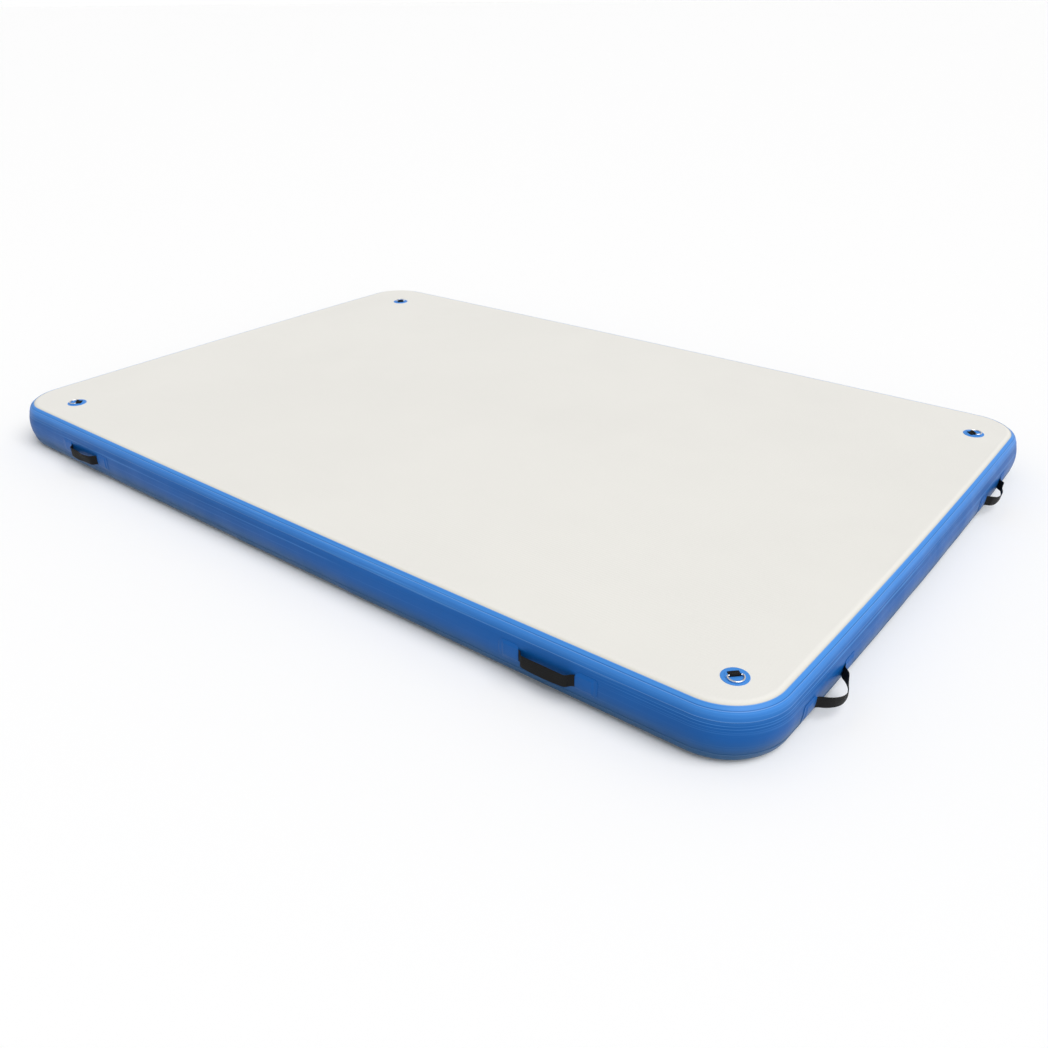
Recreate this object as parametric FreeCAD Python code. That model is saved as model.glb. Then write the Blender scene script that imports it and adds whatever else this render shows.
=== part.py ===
import FreeCAD, Part
import math
import os

# Inflatable drop-stitch platform with webbing handles, D-rings and an inflation valve.
# Millimetres, +Z up, X along the length, -Y is the front. The origin is at the centre of
# the flat bottom face. Every layer of coated fabric is a solid of its own.

Vector = FreeCAD.Vector
UP = Vector(0, 0, 1)

# ---- overall size ----
LENGTH = 3000.0                 # across the end walls at mid-height
WIDTH = 2000.0                  # across the side walls at mid-height
THICKNESS = 150.0               # across the two skins
CORNER_RADIUS = 170.0           # of the widest outline, at mid-height
SIDE_BOW = 8.0                  # air pressure bows the middle of each side out by this

# ---- section of the inflated wall ----
SHOULDER_RADIUS = 34.0          # tight arc where a skin rolls over its edge
SKIN_BULGE = 43.7               # how far the skin's outer surface goes past the flat face
MID = THICKNESS / 2

# ---- layers ----
FABRIC = 1.2                    # coated fabric of skins and side wall
TAPE = 0.9                      # seam tapes and patches
GLUE = 0.1                      # glue line between two layers
SEAM_ANGLE = 60.0               # wall normal, degrees above level, where the side wall starts
SKIN_EDGE_ANGLE = 24.0          # where the skin ends under the side wall
TAPE_TOP_ANGLE = 39.0           # the outer seam tape covers the wall between these
TAPE_FOOT_ANGLE = 19.5
INNER_TAPE_TOP_ANGLE = 55.0     # the inner seam tape covers the skin's edge from inside
INNER_TAPE_FOOT_ANGLE = 18.0
JOINT_GAP = 0.5                 # half the gap where two side wall strips meet
JOINT_PATCH_WIDTH = 100.0
JOINT_PATCH_ANGLE = 17.0
BACK_JOINT_X = -600.0
LEFT_JOINT_Y = 300.0

# ---- drop-stitch threads ----
THREAD_PITCH = 200.0
THREAD_SIDE = 4.0               # a square bundle stands for the threads around it
THREAD_ROWS_X = 7               # rows each side of the middle
THREAD_ROWS_Y = 4

# ---- webbing handles ----
WEBBING_WIDTH = 32.0
WEBBING_THICKNESS = 1.8
HINGE_OUT = 18.0                # the strap bends freely this far out from the wall
HINGE_HALF_SPAN = 58.0          # half the distance between a strap's two bends
HINGE_GAP = 0.2                 # half the gap between a sewn end and the free strap
TAIL_BEND = 10.0                # radius of each bend in a sewn end
TAIL_ANGLE = 56.0               # steepest slope of a sewn end
TAIL_UNDER_PATCH = 45.0
PATCH_LENGTH = 60.0
PATCH_HEIGHT = 50.0
PATCH_CORNER = 12.0
PATCH_ROOM = 0.3                # room around the strap's end inside its patch
# name: (wall, place along that wall, bow of the free strap, droop of the strap and lean of
# the whole handle in degrees). A lean shifts a handle down round the wall's arc.
HANDLES = {
    "front_left": ("front", -991.0, 3.0, 2.0, 1.5),
    "front_right": ("front", 967.0, 2.0, 0.0, -0.5),
    "right_front": ("right", -645.0, 25.0, 5.0, 7.0),
    "right_back": ("right", 575.0, 13.0, 9.0, 6.5),
    "back_right": ("back", 1000.0, 12.0, 12.0, 2.0),
    "back_left": ("back", -1000.0, 20.0, 25.0, 5.0),
    "left_back": ("left", 610.0, 22.0, 16.0, 4.0),
    "left_front": ("left", -610.0, 8.0, 10.0, 5.0),
}

# ---- D-rings ----
RING_WIRE = 1.9                 # radius of the ring's wire
RING_HALF_WIDTH = 18.0          # to the wire's centre
RING_STRAIGHT = 6.0             # straight run before the round end
RING_CORNER = 4.0
RING_BASE_RADIUS = 32.0
RING_COVER_RADIUS = 23.0
RING_WEBBING_WIDTH = 26.0
RING_WEBBING_LENGTH = 16.0
RING_WEBBING_THICKNESS = 1.2
RING_CLEARANCE = 0.1            # between the wire and the webbing loop around it
RING_WINDOW_MARGIN = 1.0
# name: (x, y, heading of the round end in degrees)
D_RINGS = {
    "front_left": (-1258.0, -855.0, -135.0),
    "front_right": (1362.0, -855.0, -45.0),
    "back_left": (-1258.0, 783.0, 135.0),
    "back_right": (1362.0, 783.0, 45.0),
}

# ---- inflation valve, in the left wall ----
VALVE_Y = -250.0
VALVE_HOLE = 22.6
VALVE_BARREL = 22.0
VALVE_FLANGE = 30.0
VALVE_SADDLE = 31.0
VALVE_SADDLE_OUT = 2.0          # flat face of the saddle gasket, out from the wall
VALVE_FLANGE_OUT = 6.0
VALVE_DEPTH = 38.0              # the valve seat's distance inside the wall
VALVE_CUP = 18.0
VALVE_CUP_FLOOR = -20.0
VALVE_THROAT = 13.0
VALVE_GUIDE = 4.2
VALVE_GUIDE_DEPTH = 6.0
VALVE_SPOKE = 2.0
VALVE_STEM = 2.5
VALVE_STEM_CLEARANCE = 0.08
VALVE_BUTTON = 7.5
VALVE_BUTTON_OUT = -3.0
VALVE_BUTTON_HEIGHT = 3.0
VALVE_DISC = 16.5
VALVE_DISC_THICKNESS = 2.5
VALVE_SPRING_WIRE = 0.5
VALVE_SPRING_RADIUS = 5.2
VALVE_SPRING_TURNS = 5.0
VALVE_NUT = 31.0
VALVE_NUT_DEPTH = 9.0
CAP_RADIUS = 22.0
CAP_THICKNESS = 3.0
CAP_PLUG = 17.7
CAP_PLUG_DEPTH = 6.0
CAP_WALL = 2.0
CAP_GAP = 0.3                   # between the flange and the closed cap
CAP_GRIP_HEIGHT = 4.0
CAP_GRIP_THICKNESS = 4.0
TETHER_THICKNESS = 1.2
TETHER_WIDTH = 9.0
TETHER_RING = 26.0
CAP_HINGE_Y = -34.0             # from the valve's axis, along the wall


# ---- the wall's section ----
# A point of the section is given by the angle of its normal above level. "Out" is measured
# from the edge of the flat face, and an offset moves the point along its normal.

def wall_arcs():
    """Angle where shoulder and wall arc meet, and the wall arc's radius and centre."""
    rise = MID - SHOULDER_RADIUS
    spread = SKIN_BULGE - SHOULDER_RADIUS
    meet = 2 * math.atan2(spread, rise)
    between = rise / math.sin(meet)
    return math.degrees(meet), between + SHOULDER_RADIUS, -between * math.cos(meet)


MEET_ANGLE, WALL_RADIUS, WALL_CENTRE = wall_arcs()
WALL_OUTER = GLUE + FABRIC                     # offset of the side wall's outer surface
WALL_OUT = SKIN_BULGE + WALL_OUTER             # from the flat's edge to the widest outline


def section_point(angle, offset):
    radians = math.radians(angle)
    if abs(angle) < MEET_ANGLE:
        out = WALL_CENTRE + (WALL_RADIUS + offset) * math.cos(radians)
        return Vector(out, 0, MID + (WALL_RADIUS + offset) * math.sin(radians))
    rise = math.copysign(MID - SHOULDER_RADIUS, angle)
    out = (SHOULDER_RADIUS + offset) * math.cos(radians)
    return Vector(out, 0, MID + rise + (SHOULDER_RADIUS + offset) * math.sin(radians))


def section_edges(start, end, offset):
    """Arcs of the section from one normal angle down to another."""
    stops = [start]
    stops += [a for a in (MEET_ANGLE, -MEET_ANGLE) if end < a < start]
    stops.append(end)
    edges = []
    for first, last in zip(stops, stops[1:]):
        middle = section_point((first + last) / 2, offset)
        arc = Part.Arc(section_point(first, offset), middle, section_point(last, offset))
        edges.append(arc.toShape())
    return edges


def band_face(start, end, inner, outer):
    """Section of one layer of the wall, between two angles and two offsets."""
    edges = section_edges(start, end, inner) + section_edges(start, end, outer)
    for angle in (start, end):
        edges.append(Part.makeLine(section_point(angle, inner), section_point(angle, outer)))
    return Part.Face(Part.Wire(Part.__sortEdges__(edges)))


# ---- the plan outline: four gentle side arcs and four corner arcs, all tangent ----

CORNER_X = LENGTH / 2 - SIDE_BOW - CORNER_RADIUS
CORNER_Y = WIDTH / 2 - SIDE_BOW - CORNER_RADIUS


def side_radius(half_run):
    """Radius of a side whose ends are tangent to the corner arcs."""
    return (half_run ** 2 / SIDE_BOW + 2 * CORNER_RADIUS + SIDE_BOW) / 2


END_RADIUS = side_radius(CORNER_Y)             # left and right walls
FRONT_RADIUS = side_radius(CORNER_X)           # front and back walls
END_CENTRE = LENGTH / 2 - END_RADIUS
FRONT_CENTRE = WIDTH / 2 - FRONT_RADIUS
END_ANGLE = math.degrees(math.atan2(CORNER_Y, CORNER_X - END_CENTRE))
FRONT_ANGLE = math.degrees(math.atan2(CORNER_X, CORNER_Y - FRONT_CENTRE))

# wall: (centre x, centre y, radius, heading of its outward normal at the middle)
WALLS = {
    "right": (END_CENTRE, 0.0, END_RADIUS, 0.0),
    "back": (0.0, FRONT_CENTRE, FRONT_RADIUS, 90.0),
    "left": (-END_CENTRE, 0.0, END_RADIUS, 180.0),
    "front": (0.0, -FRONT_CENTRE, FRONT_RADIUS, 270.0),
}


def wall_heading(wall, along):
    """Heading of the outward normal at a place given by its x or y."""
    turn = math.degrees(math.asin(along / WALLS[wall][2]))
    if wall in ("back", "left"):
        turn = -turn
    return WALLS[wall][3] + turn


def plan_arc(wall, start=None, end=None):
    """A wall's arc as (centre x, centre y, radius, first heading, last heading)."""
    x, y, radius, heading = WALLS[wall]
    half = END_ANGLE if wall in ("right", "left") else FRONT_ANGLE
    first = heading - half if start is None else start
    last = heading + half if end is None else end
    return (x, y, radius, first, last)


def corner_arc(x_side, y_side, first, last):
    return (x_side * CORNER_X, y_side * CORNER_Y, CORNER_RADIUS, first, last)


BACK_RIGHT = corner_arc(1, 1, END_ANGLE, 90 - FRONT_ANGLE)
BACK_LEFT = corner_arc(-1, 1, 90 + FRONT_ANGLE, 180 - END_ANGLE)
FRONT_LEFT = corner_arc(-1, -1, 180 + END_ANGLE, 270 - FRONT_ANGLE)
FRONT_RIGHT = corner_arc(1, -1, 270 + FRONT_ANGLE, 360 - END_ANGLE)
FULL_OUTLINE = [
    plan_arc("right"), BACK_RIGHT, plan_arc("back"), BACK_LEFT,
    plan_arc("left"), FRONT_LEFT, plan_arc("front"), FRONT_RIGHT,
]


def sweep_band(face, outline):
    """Carry a section along the arcs of the outline and join the stretches."""
    stretches = []
    for x, y, radius, first, last in outline:
        section = face.copy()
        section.translate(Vector(radius - WALL_OUT, 0, 0))
        section.rotate(Vector(0, 0, 0), UP, first)
        stretch = section.revolve(Vector(0, 0, 0), UP, last - first)
        stretch.translate(Vector(x, y, 0))
        stretches.append(stretch)
    joined = stretches[0].fuse(stretches[1:])
    return joined.Solids[0]


def flat_outline():
    """Edge of the flat face, as a closed wire at z = 0."""
    edges = []
    for x, y, radius, first, last in FULL_OUTLINE:
        points = []
        for heading in (first, (first + last) / 2, last):
            turn = math.radians(heading)
            reach = radius - WALL_OUT
            points.append(Vector(x + reach * math.cos(turn), y + reach * math.sin(turn), 0))
        edges.append(Part.Arc(*points).toShape())
    return Part.Wire(Part.__sortEdges__(edges))


# ---- skins, side wall, tapes and threads ----

def make_top_skin():
    plate = Part.Face(flat_outline()).extrude(Vector(0, 0, FABRIC))
    plate.translate(Vector(0, 0, THICKNESS - FABRIC))
    rolled_edge = sweep_band(band_face(90, SKIN_EDGE_ANGLE, -FABRIC, 0), FULL_OUTLINE)
    return plate.fuse(rolled_edge).Solids[0]


def upside_down(shape):
    """The same layer at the bottom of the mat."""
    return shape.mirror(Vector(0, 0, MID), UP)


def make_side_wall():
    """Two strips that meet on the back wall and on the left wall."""
    face = band_face(SEAM_ANGLE, -SEAM_ANGLE, GLUE, WALL_OUTER)
    gap = math.degrees(JOINT_GAP / END_RADIUS)
    back_gap = math.degrees(JOINT_GAP / FRONT_RADIUS)
    back_joint = wall_heading("back", BACK_JOINT_X)
    left_joint = wall_heading("left", LEFT_JOINT_Y)
    long_run = [
        plan_arc("left", start=left_joint + gap), FRONT_LEFT, plan_arc("front"), FRONT_RIGHT,
        plan_arc("right"), BACK_RIGHT, plan_arc("back", end=back_joint - back_gap),
    ]
    short_run = [
        plan_arc("back", start=back_joint + back_gap), BACK_LEFT,
        plan_arc("left", end=left_joint - gap),
    ]
    hole = Part.makeCylinder(VALVE_HOLE, 40, Vector(-20, 0, 0), Vector(1, 0, 0))
    long_strip = sweep_band(face, long_run).cut(on_wall(hole, "left", VALVE_Y))
    return long_strip.Solids[0], sweep_band(face, short_run)


def make_joint_patches():
    inner = WALL_OUTER + GLUE
    face = band_face(JOINT_PATCH_ANGLE, -JOINT_PATCH_ANGLE, inner, inner + TAPE)
    patches = []
    for wall, along in (("back", BACK_JOINT_X), ("left", LEFT_JOINT_Y)):
        half = math.degrees(JOINT_PATCH_WIDTH / 2 / WALLS[wall][2])
        heading = wall_heading(wall, along)
        patches.append(sweep_band(face, [plan_arc(wall, heading - half, heading + half)]))
    return Part.makeCompound(patches)


def make_seam_tape():
    inner = WALL_OUTER + GLUE
    face = band_face(TAPE_TOP_ANGLE, TAPE_FOOT_ANGLE, inner, inner + TAPE)
    return sweep_band(face, FULL_OUTLINE)


def make_inner_tape():
    outer = -FABRIC - GLUE
    face = band_face(INNER_TAPE_TOP_ANGLE, INNER_TAPE_FOOT_ANGLE, outer - TAPE, outer)
    return sweep_band(face, FULL_OUTLINE)


def make_threads():
    foot = FABRIC + GLUE
    height = THICKNESS - 2 * foot
    bundles = []
    for row_x in range(-THREAD_ROWS_X, THREAD_ROWS_X + 1):
        for row_y in range(-THREAD_ROWS_Y, THREAD_ROWS_Y + 1):
            corner = Vector(row_x * THREAD_PITCH, row_y * THREAD_PITCH, foot)
            corner -= Vector(THREAD_SIDE / 2, THREAD_SIDE / 2, 0)
            bundles.append(Part.makeBox(THREAD_SIDE, THREAD_SIDE, height, corner))
    return Part.makeCompound(bundles)


# ---- places on a wall ----
# In a wall's own frame X points out, Y runs along the wall and the origin is on the side
# wall's outer surface at mid-height.

def on_wall(shape, wall, along, lean=0.0):
    """Move a shape from a wall's own frame to its place in the mat."""
    x, y, radius, middle = WALLS[wall]
    heading = wall_heading(wall, along)
    turn = math.radians(heading)
    placed = shape.copy()
    placed.rotate(Vector(-WALL_RADIUS - WALL_OUTER, 0, 0), Vector(0, 1, 0), lean)
    placed.rotate(Vector(0, 0, 0), UP, heading)
    placed.translate(Vector(x + radius * math.cos(turn), y + radius * math.sin(turn), MID))
    return placed


def wall_cylinder(offset, half_length):
    """The wall's round outer surface near a place, as a solid cylinder along Y."""
    radius = WALL_RADIUS + WALL_OUTER + offset
    start = Vector(-(WALL_RADIUS + WALL_OUTER), -half_length, 0)
    return Part.makeCylinder(radius, 2 * half_length, start, Vector(0, 1, 0))


# ---- webbing handles ----

def webbing_along(path, start, direction):
    """Sweep the webbing's section along a level path that starts at a point."""
    across = Vector(-direction.y, direction.x, 0) * (WEBBING_THICKNESS / 2)
    half = Vector(0, 0, WEBBING_WIDTH / 2)
    corners = [start + across - half, start + across + half, start - across + half,
               start - across - half]
    section = Part.makePolygon(corners + corners[:1])
    return path.makePipeShell([section], True, False)


def free_strap(bow, droop):
    """The free middle of a strap: one arc between the two bends, turned down by its droop."""
    overrun = 4.0
    radius = (HINGE_HALF_SPAN ** 2 + bow ** 2) / (2 * bow)
    centre = Vector(HINGE_OUT + bow - radius, 0, 0)
    reach = math.asin(HINGE_HALF_SPAN / radius) + overrun / radius
    ends = [centre + Vector(radius * math.cos(a), radius * math.sin(a), 0) for a in (-reach, reach)]
    arc = Part.Arc(ends[0], centre + Vector(radius, 0, 0), ends[1])
    heading = Vector(math.sin(reach), math.cos(reach), 0)
    strap = webbing_along(Part.Wire(arc.toShape()), ends[0], heading)
    keep = Part.makeBox(200, 2 * HINGE_HALF_SPAN, 100, Vector(-50, -HINGE_HALF_SPAN, -50))
    strap = strap.common(keep).Solids[0]
    strap.rotate(Vector(HINGE_OUT, 0, 0), Vector(0, 1, 0), droop)
    return strap


def tail_shape(bow):
    """Straight run and half span of a sewn end that reaches the bend at the strap's slope."""
    radius = (HINGE_HALF_SPAN ** 2 + bow ** 2) / (2 * bow)
    end_slope = min(math.asin(HINGE_HALF_SPAN / radius), math.radians(TAIL_ANGLE))
    slope = math.radians(TAIL_ANGLE)
    climb = HINGE_OUT - WEBBING_THICKNESS / 2 - GLUE
    bends = TAIL_BEND * (1 + math.cos(end_slope) - 2 * math.cos(slope))
    straight = (climb - bends) / math.sin(slope)
    run = TAIL_BEND * (2 * math.sin(slope) - math.sin(end_slope)) + straight * math.cos(slope)
    return slope, end_slope, straight, HINGE_HALF_SPAN + run


def bend_edge(start, slope_in, slope_out):
    """An arc of the level path. Slopes are angles from the wall, and it climbs along +Y."""
    side = 1 if slope_out > slope_in else -1
    centre = start + Vector(math.cos(slope_in), -math.sin(slope_in), 0) * (side * TAIL_BEND)

    def at(slope):
        return centre - Vector(math.cos(slope), -math.sin(slope), 0) * (side * TAIL_BEND)

    end = at(slope_out)
    return Part.Arc(start, at((slope_in + slope_out) / 2), end).toShape(), end


def sewn_end(bow):
    """One end of a strap: flat under its patch, then climbing out to the bend."""
    slope, end_slope, straight, half_span = tail_shape(bow)
    level = GLUE + WEBBING_THICKNESS / 2
    start = Vector(level, -half_span - TAIL_UNDER_PATCH, 0)
    foot = Vector(level, -half_span, 0)
    edges = [Part.makeLine(start, foot)]
    bend, point = bend_edge(foot, 0.0, slope)
    edges.append(bend)
    top = point + Vector(math.sin(slope), math.cos(slope), 0) * straight
    edges.append(Part.makeLine(point, top))
    if end_slope < slope - 0.01:
        bend, top = bend_edge(top, slope, end_slope)
        edges.append(bend)
    overrun = top + Vector(math.sin(end_slope), math.cos(end_slope), 0) * 3.0
    edges.append(Part.makeLine(top, overrun))
    tail = webbing_along(Part.Wire(edges), start, Vector(0, 1, 0))
    limit = HINGE_HALF_SPAN + HINGE_GAP
    keep = Part.makeBox(200, 200, 100, Vector(-50, -limit - 200, -50))
    return tail.common(keep).Solids[0]


def end_patch(bow):
    """A patch that lies on the wall and bulges over the strap's sewn end."""
    half_span = tail_shape(bow)[3]
    near = -half_span - 0.5
    skin = wall_cylinder(GLUE + TAPE, 250).cut(wall_cylinder(GLUE, 250))
    tail_top = GLUE + WEBBING_THICKNESS + GLUE
    bulge_half = WEBBING_WIDTH / 2 + PATCH_ROOM + TAPE
    bulge = Part.makeBox(20 + tail_top + TAPE, TAIL_UNDER_PATCH + PATCH_ROOM + TAPE, 2 * bulge_half,
                         Vector(-20, near - TAIL_UNDER_PATCH - TAPE, -bulge_half))
    bulge = bulge.cut(wall_cylinder(GLUE, 250))
    channel_half = WEBBING_WIDTH / 2 + PATCH_ROOM
    channel = Part.makeBox(20 + tail_top, TAIL_UNDER_PATCH + 20, 2 * channel_half,
                           Vector(-20, near - TAIL_UNDER_PATCH, -channel_half))
    outline = rounded_plate(PATCH_LENGTH, PATCH_HEIGHT, PATCH_CORNER, near)
    patch = skin.common(outline).fuse(bulge.common(outline)).cut(channel)
    return patch.Solids[0]


def rounded_plate(length, height, corner, near):
    """A deep block with rounded corners that trims a patch to its outline."""
    block = Part.makeBox(80, length, height, Vector(-40, near - length, -height / 2))
    upright = [e for e in block.Edges if abs(e.Vertexes[0].X - e.Vertexes[-1].X) > 1]
    return block.makeFillet(corner, upright)


def mirrored_pair(shape):
    """The shape at one end of a handle, and its mirror image at the other end."""
    other = shape.mirror(Vector(0, 0, 0), Vector(0, 1, 0))
    return Part.makeCompound([shape, other])


# ---- D-rings ----
# In a D-ring's own frame X points to its round end and the origin is on the top skin.

RING_BASE_TOP = GLUE + TAPE
RING_AXIS = RING_BASE_TOP + GLUE + RING_WEBBING_THICKNESS + RING_CLEARANCE + RING_WIRE


def ring_base():
    return Part.makeCylinder(RING_BASE_RADIUS, TAPE, Vector(0, 0, GLUE))


def ring_cover():
    """The upper patch, with a window for the webbing loop."""
    floor = RING_BASE_TOP + GLUE
    disc = Part.makeCylinder(RING_COVER_RADIUS, TAPE, Vector(0, 0, floor))
    width = RING_WEBBING_WIDTH + 2 * RING_WINDOW_MARGIN
    length = RING_WEBBING_LENGTH + RING_WIRE + 5 + RING_WINDOW_MARGIN
    corner = Vector(-RING_WEBBING_LENGTH - RING_WINDOW_MARGIN, -width / 2, 0)
    return disc.cut(Part.makeBox(length, width, 20, corner))


def ring_webbing():
    """Webbing folded round the ring's straight bar, with both tails glued down."""
    width = RING_WEBBING_WIDTH
    outer = RING_WIRE + RING_CLEARANCE + RING_WEBBING_THICKNESS
    start = Vector(0, -width / 2, RING_AXIS)
    along = Vector(0, 1, 0)
    loop = Part.makeCylinder(outer, width, start, along)
    tails = Part.makeBox(RING_WEBBING_LENGTH, width, 2 * RING_WEBBING_THICKNESS,
                         Vector(-RING_WEBBING_LENGTH, -width / 2, RING_AXIS - outer))
    bore = Part.makeCylinder(RING_WIRE + RING_CLEARANCE, width, start, along)
    return loop.fuse(tails).cut(bore).Solids[0]


def d_ring():
    """Wire bent to a D, lying flat with its straight bar on the Y axis."""
    half = RING_HALF_WIDTH
    corner = RING_CORNER
    bar = half - corner
    diagonal = corner * (1 - math.sqrt(0.5))

    def at(x, y):
        return Vector(x, y, RING_AXIS)

    edges = [
        Part.makeLine(at(0, 0), at(0, bar)),
        Part.Arc(at(0, bar), at(diagonal, half - diagonal), at(corner, half)).toShape(),
        Part.makeLine(at(corner, half), at(RING_STRAIGHT, half)),
        Part.Arc(at(RING_STRAIGHT, half), at(RING_STRAIGHT + half, 0),
                 at(RING_STRAIGHT, -half)).toShape(),
        Part.makeLine(at(RING_STRAIGHT, -half), at(corner, -half)),
        Part.Arc(at(corner, -half), at(diagonal, diagonal - half), at(0, -bar)).toShape(),
        Part.makeLine(at(0, -bar), at(0, 0)),
    ]
    circle = Part.Wire(Part.makeCircle(RING_WIRE, at(0, 0), Vector(0, 1, 0)))
    return Part.Wire(edges).makePipeShell([circle], True, False)


def on_top(shape, x, y, heading):
    placed = shape.copy()
    placed.rotate(Vector(0, 0, 0), UP, heading)
    placed.translate(Vector(x, y, THICKNESS))
    return placed


# ---- inflation valve, in its wall's own frame, with its axis along X ----

OUTWARD = Vector(1, 0, 0)


def turned(points):
    """A solid of revolution about X from (out, radius) points."""
    corners = [Vector(out, radius, 0) for out, radius in points]
    face = Part.Face(Part.makePolygon(corners + corners[:1]))
    return face.revolve(Vector(0, 0, 0), OUTWARD, 360)


def tube(inner, outer, low, high):
    return turned([(low, inner), (high, inner), (high, outer), (low, outer)])


def valve_body():
    """Flange, barrel and cup, with three spokes that carry the stem's guide."""
    shell = turned([
        (VALVE_FLANGE_OUT, VALVE_CUP), (VALVE_FLANGE_OUT, VALVE_FLANGE),
        (VALVE_SADDLE_OUT + TETHER_THICKNESS + GLUE, VALVE_FLANGE),
        (VALVE_SADDLE_OUT + TETHER_THICKNESS + GLUE, VALVE_BARREL),
        (-VALVE_DEPTH, VALVE_BARREL), (-VALVE_DEPTH, VALVE_THROAT),
        (VALVE_CUP_FLOOR, VALVE_THROAT), (VALVE_CUP_FLOOR, VALVE_CUP),
    ])
    inner = VALVE_STEM + VALVE_STEM_CLEARANCE
    foot = VALVE_CUP_FLOOR - VALVE_GUIDE_DEPTH
    guide = tube(inner, VALVE_GUIDE, foot, VALVE_CUP_FLOOR)
    spokes = []
    for turn in (90, 210, 330):
        length = VALVE_THROAT - VALVE_GUIDE + 1.0
        corner = Vector(foot, VALVE_GUIDE - 0.5, -VALVE_SPOKE / 2)
        spoke = Part.makeBox(VALVE_GUIDE_DEPTH, length, VALVE_SPOKE, corner)
        spoke.rotate(Vector(0, 0, 0), OUTWARD, turn)
        spokes.append(spoke)
    return shell.fuse([guide] + spokes).Solids[0]


def valve_saddle():
    """Gasket with a flat outer face and an inner face that fits the round wall."""
    ring = tube(VALVE_BARREL + GLUE, VALVE_SADDLE, -20, VALVE_SADDLE_OUT - GLUE)
    return ring.cut(wall_cylinder(GLUE, 60)).Solids[0]


def valve_nut():
    """Ring inside the wall that clamps the wall and the saddle to the flange."""
    ring = tube(VALVE_BARREL + GLUE, VALVE_NUT, -VALVE_NUT_DEPTH - 3, 0)
    inside = wall_cylinder(-FABRIC - GLUE, 60)
    return ring.common(inside).Solids[0]


def valve_plunger():
    """Button and stem in one, which push the sealing disc off its seat."""
    button_foot = VALVE_BUTTON_OUT - VALVE_BUTTON_HEIGHT
    stem_end = -VALVE_DEPTH - VALVE_DISC_THICKNESS - 2.5
    keeper = -VALVE_DEPTH - GLUE - VALVE_DISC_THICKNESS - GLUE
    return turned([
        (VALVE_BUTTON_OUT, 0), (VALVE_BUTTON_OUT, VALVE_BUTTON - 1), (VALVE_BUTTON_OUT - 1, VALVE_BUTTON),
        (button_foot, VALVE_BUTTON), (button_foot, VALVE_STEM), (keeper, VALVE_STEM),
        (keeper, 2 * VALVE_STEM), (stem_end - 1, 2 * VALVE_STEM), (stem_end - 1, 0),
    ])


def valve_disc():
    foot = -VALVE_DEPTH - GLUE - VALVE_DISC_THICKNESS
    return tube(VALVE_STEM + 0.02, VALVE_DISC, foot, -VALVE_DEPTH - GLUE)


def valve_spring():
    """Coil between the guide and the button's underside."""
    room = 0.2
    low = VALVE_CUP_FLOOR + room + VALVE_SPRING_WIRE
    high = VALVE_BUTTON_OUT - VALVE_BUTTON_HEIGHT - room - VALVE_SPRING_WIRE
    pitch = (high - low) / VALVE_SPRING_TURNS
    coil = Part.makeHelix(pitch, high - low, VALVE_SPRING_RADIUS)
    start = Vector(VALVE_SPRING_RADIUS, 0, 0)
    section = Part.Wire(Part.makeCircle(VALVE_SPRING_WIRE, start, Vector(0, 1, 0)))
    spring = Part.Wire(coil).makePipeShell([section], True, True)
    spring.rotate(Vector(0, 0, 0), Vector(0, 1, 0), 90)
    spring.translate(Vector(low, 0, 0))
    return spring


CAP_FACE = VALVE_FLANGE_OUT + CAP_GAP


def valve_cap():
    """Cap with a hollow plug, a grip across its face and an ear towards its hinge."""
    top = CAP_FACE + CAP_THICKNESS
    plug_foot = CAP_FACE - CAP_PLUG_DEPTH
    cup = turned([
        (top, 0), (top, CAP_RADIUS), (CAP_FACE, CAP_RADIUS), (CAP_FACE, CAP_PLUG),
        (plug_foot, CAP_PLUG), (plug_foot, CAP_PLUG - CAP_WALL), (CAP_FACE, CAP_PLUG - CAP_WALL),
        (CAP_FACE, 0),
    ])
    half = CAP_GRIP_THICKNESS / 2
    reach = CAP_RADIUS - 4
    grip = Part.makeBox(CAP_GRIP_HEIGHT + 0.5, CAP_GRIP_THICKNESS, 2 * reach,
                        Vector(top - 0.5, -half, -reach))
    ear_end = CAP_HINGE_Y + 1.0
    ear = Part.makeBox(2, -ear_end - CAP_RADIUS + 3, TETHER_WIDTH,
                       Vector(CAP_FACE, ear_end, -TETHER_WIDTH / 2))
    return cup.fuse([grip, ear]).Solids[0]


def valve_tether():
    """Ring round the barrel with a strip that runs out to the cap's hinge line."""
    low = VALVE_SADDLE_OUT
    ring = tube(VALVE_BARREL + GLUE, TETHER_RING, low, low + TETHER_THICKNESS)
    end = CAP_HINGE_Y - 2.5
    strip = Part.makeBox(TETHER_THICKNESS, -end - VALVE_BARREL - 2, TETHER_WIDTH,
                         Vector(low, end, -TETHER_WIDTH / 2))
    lip_height = CAP_FACE - 0.6 - low
    lip = Part.makeBox(lip_height, TETHER_THICKNESS, TETHER_WIDTH,
                       Vector(low, end, -TETHER_WIDTH / 2))
    return ring.fuse([strip, lip]).Solids[0]


# ---- every node ----

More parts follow.
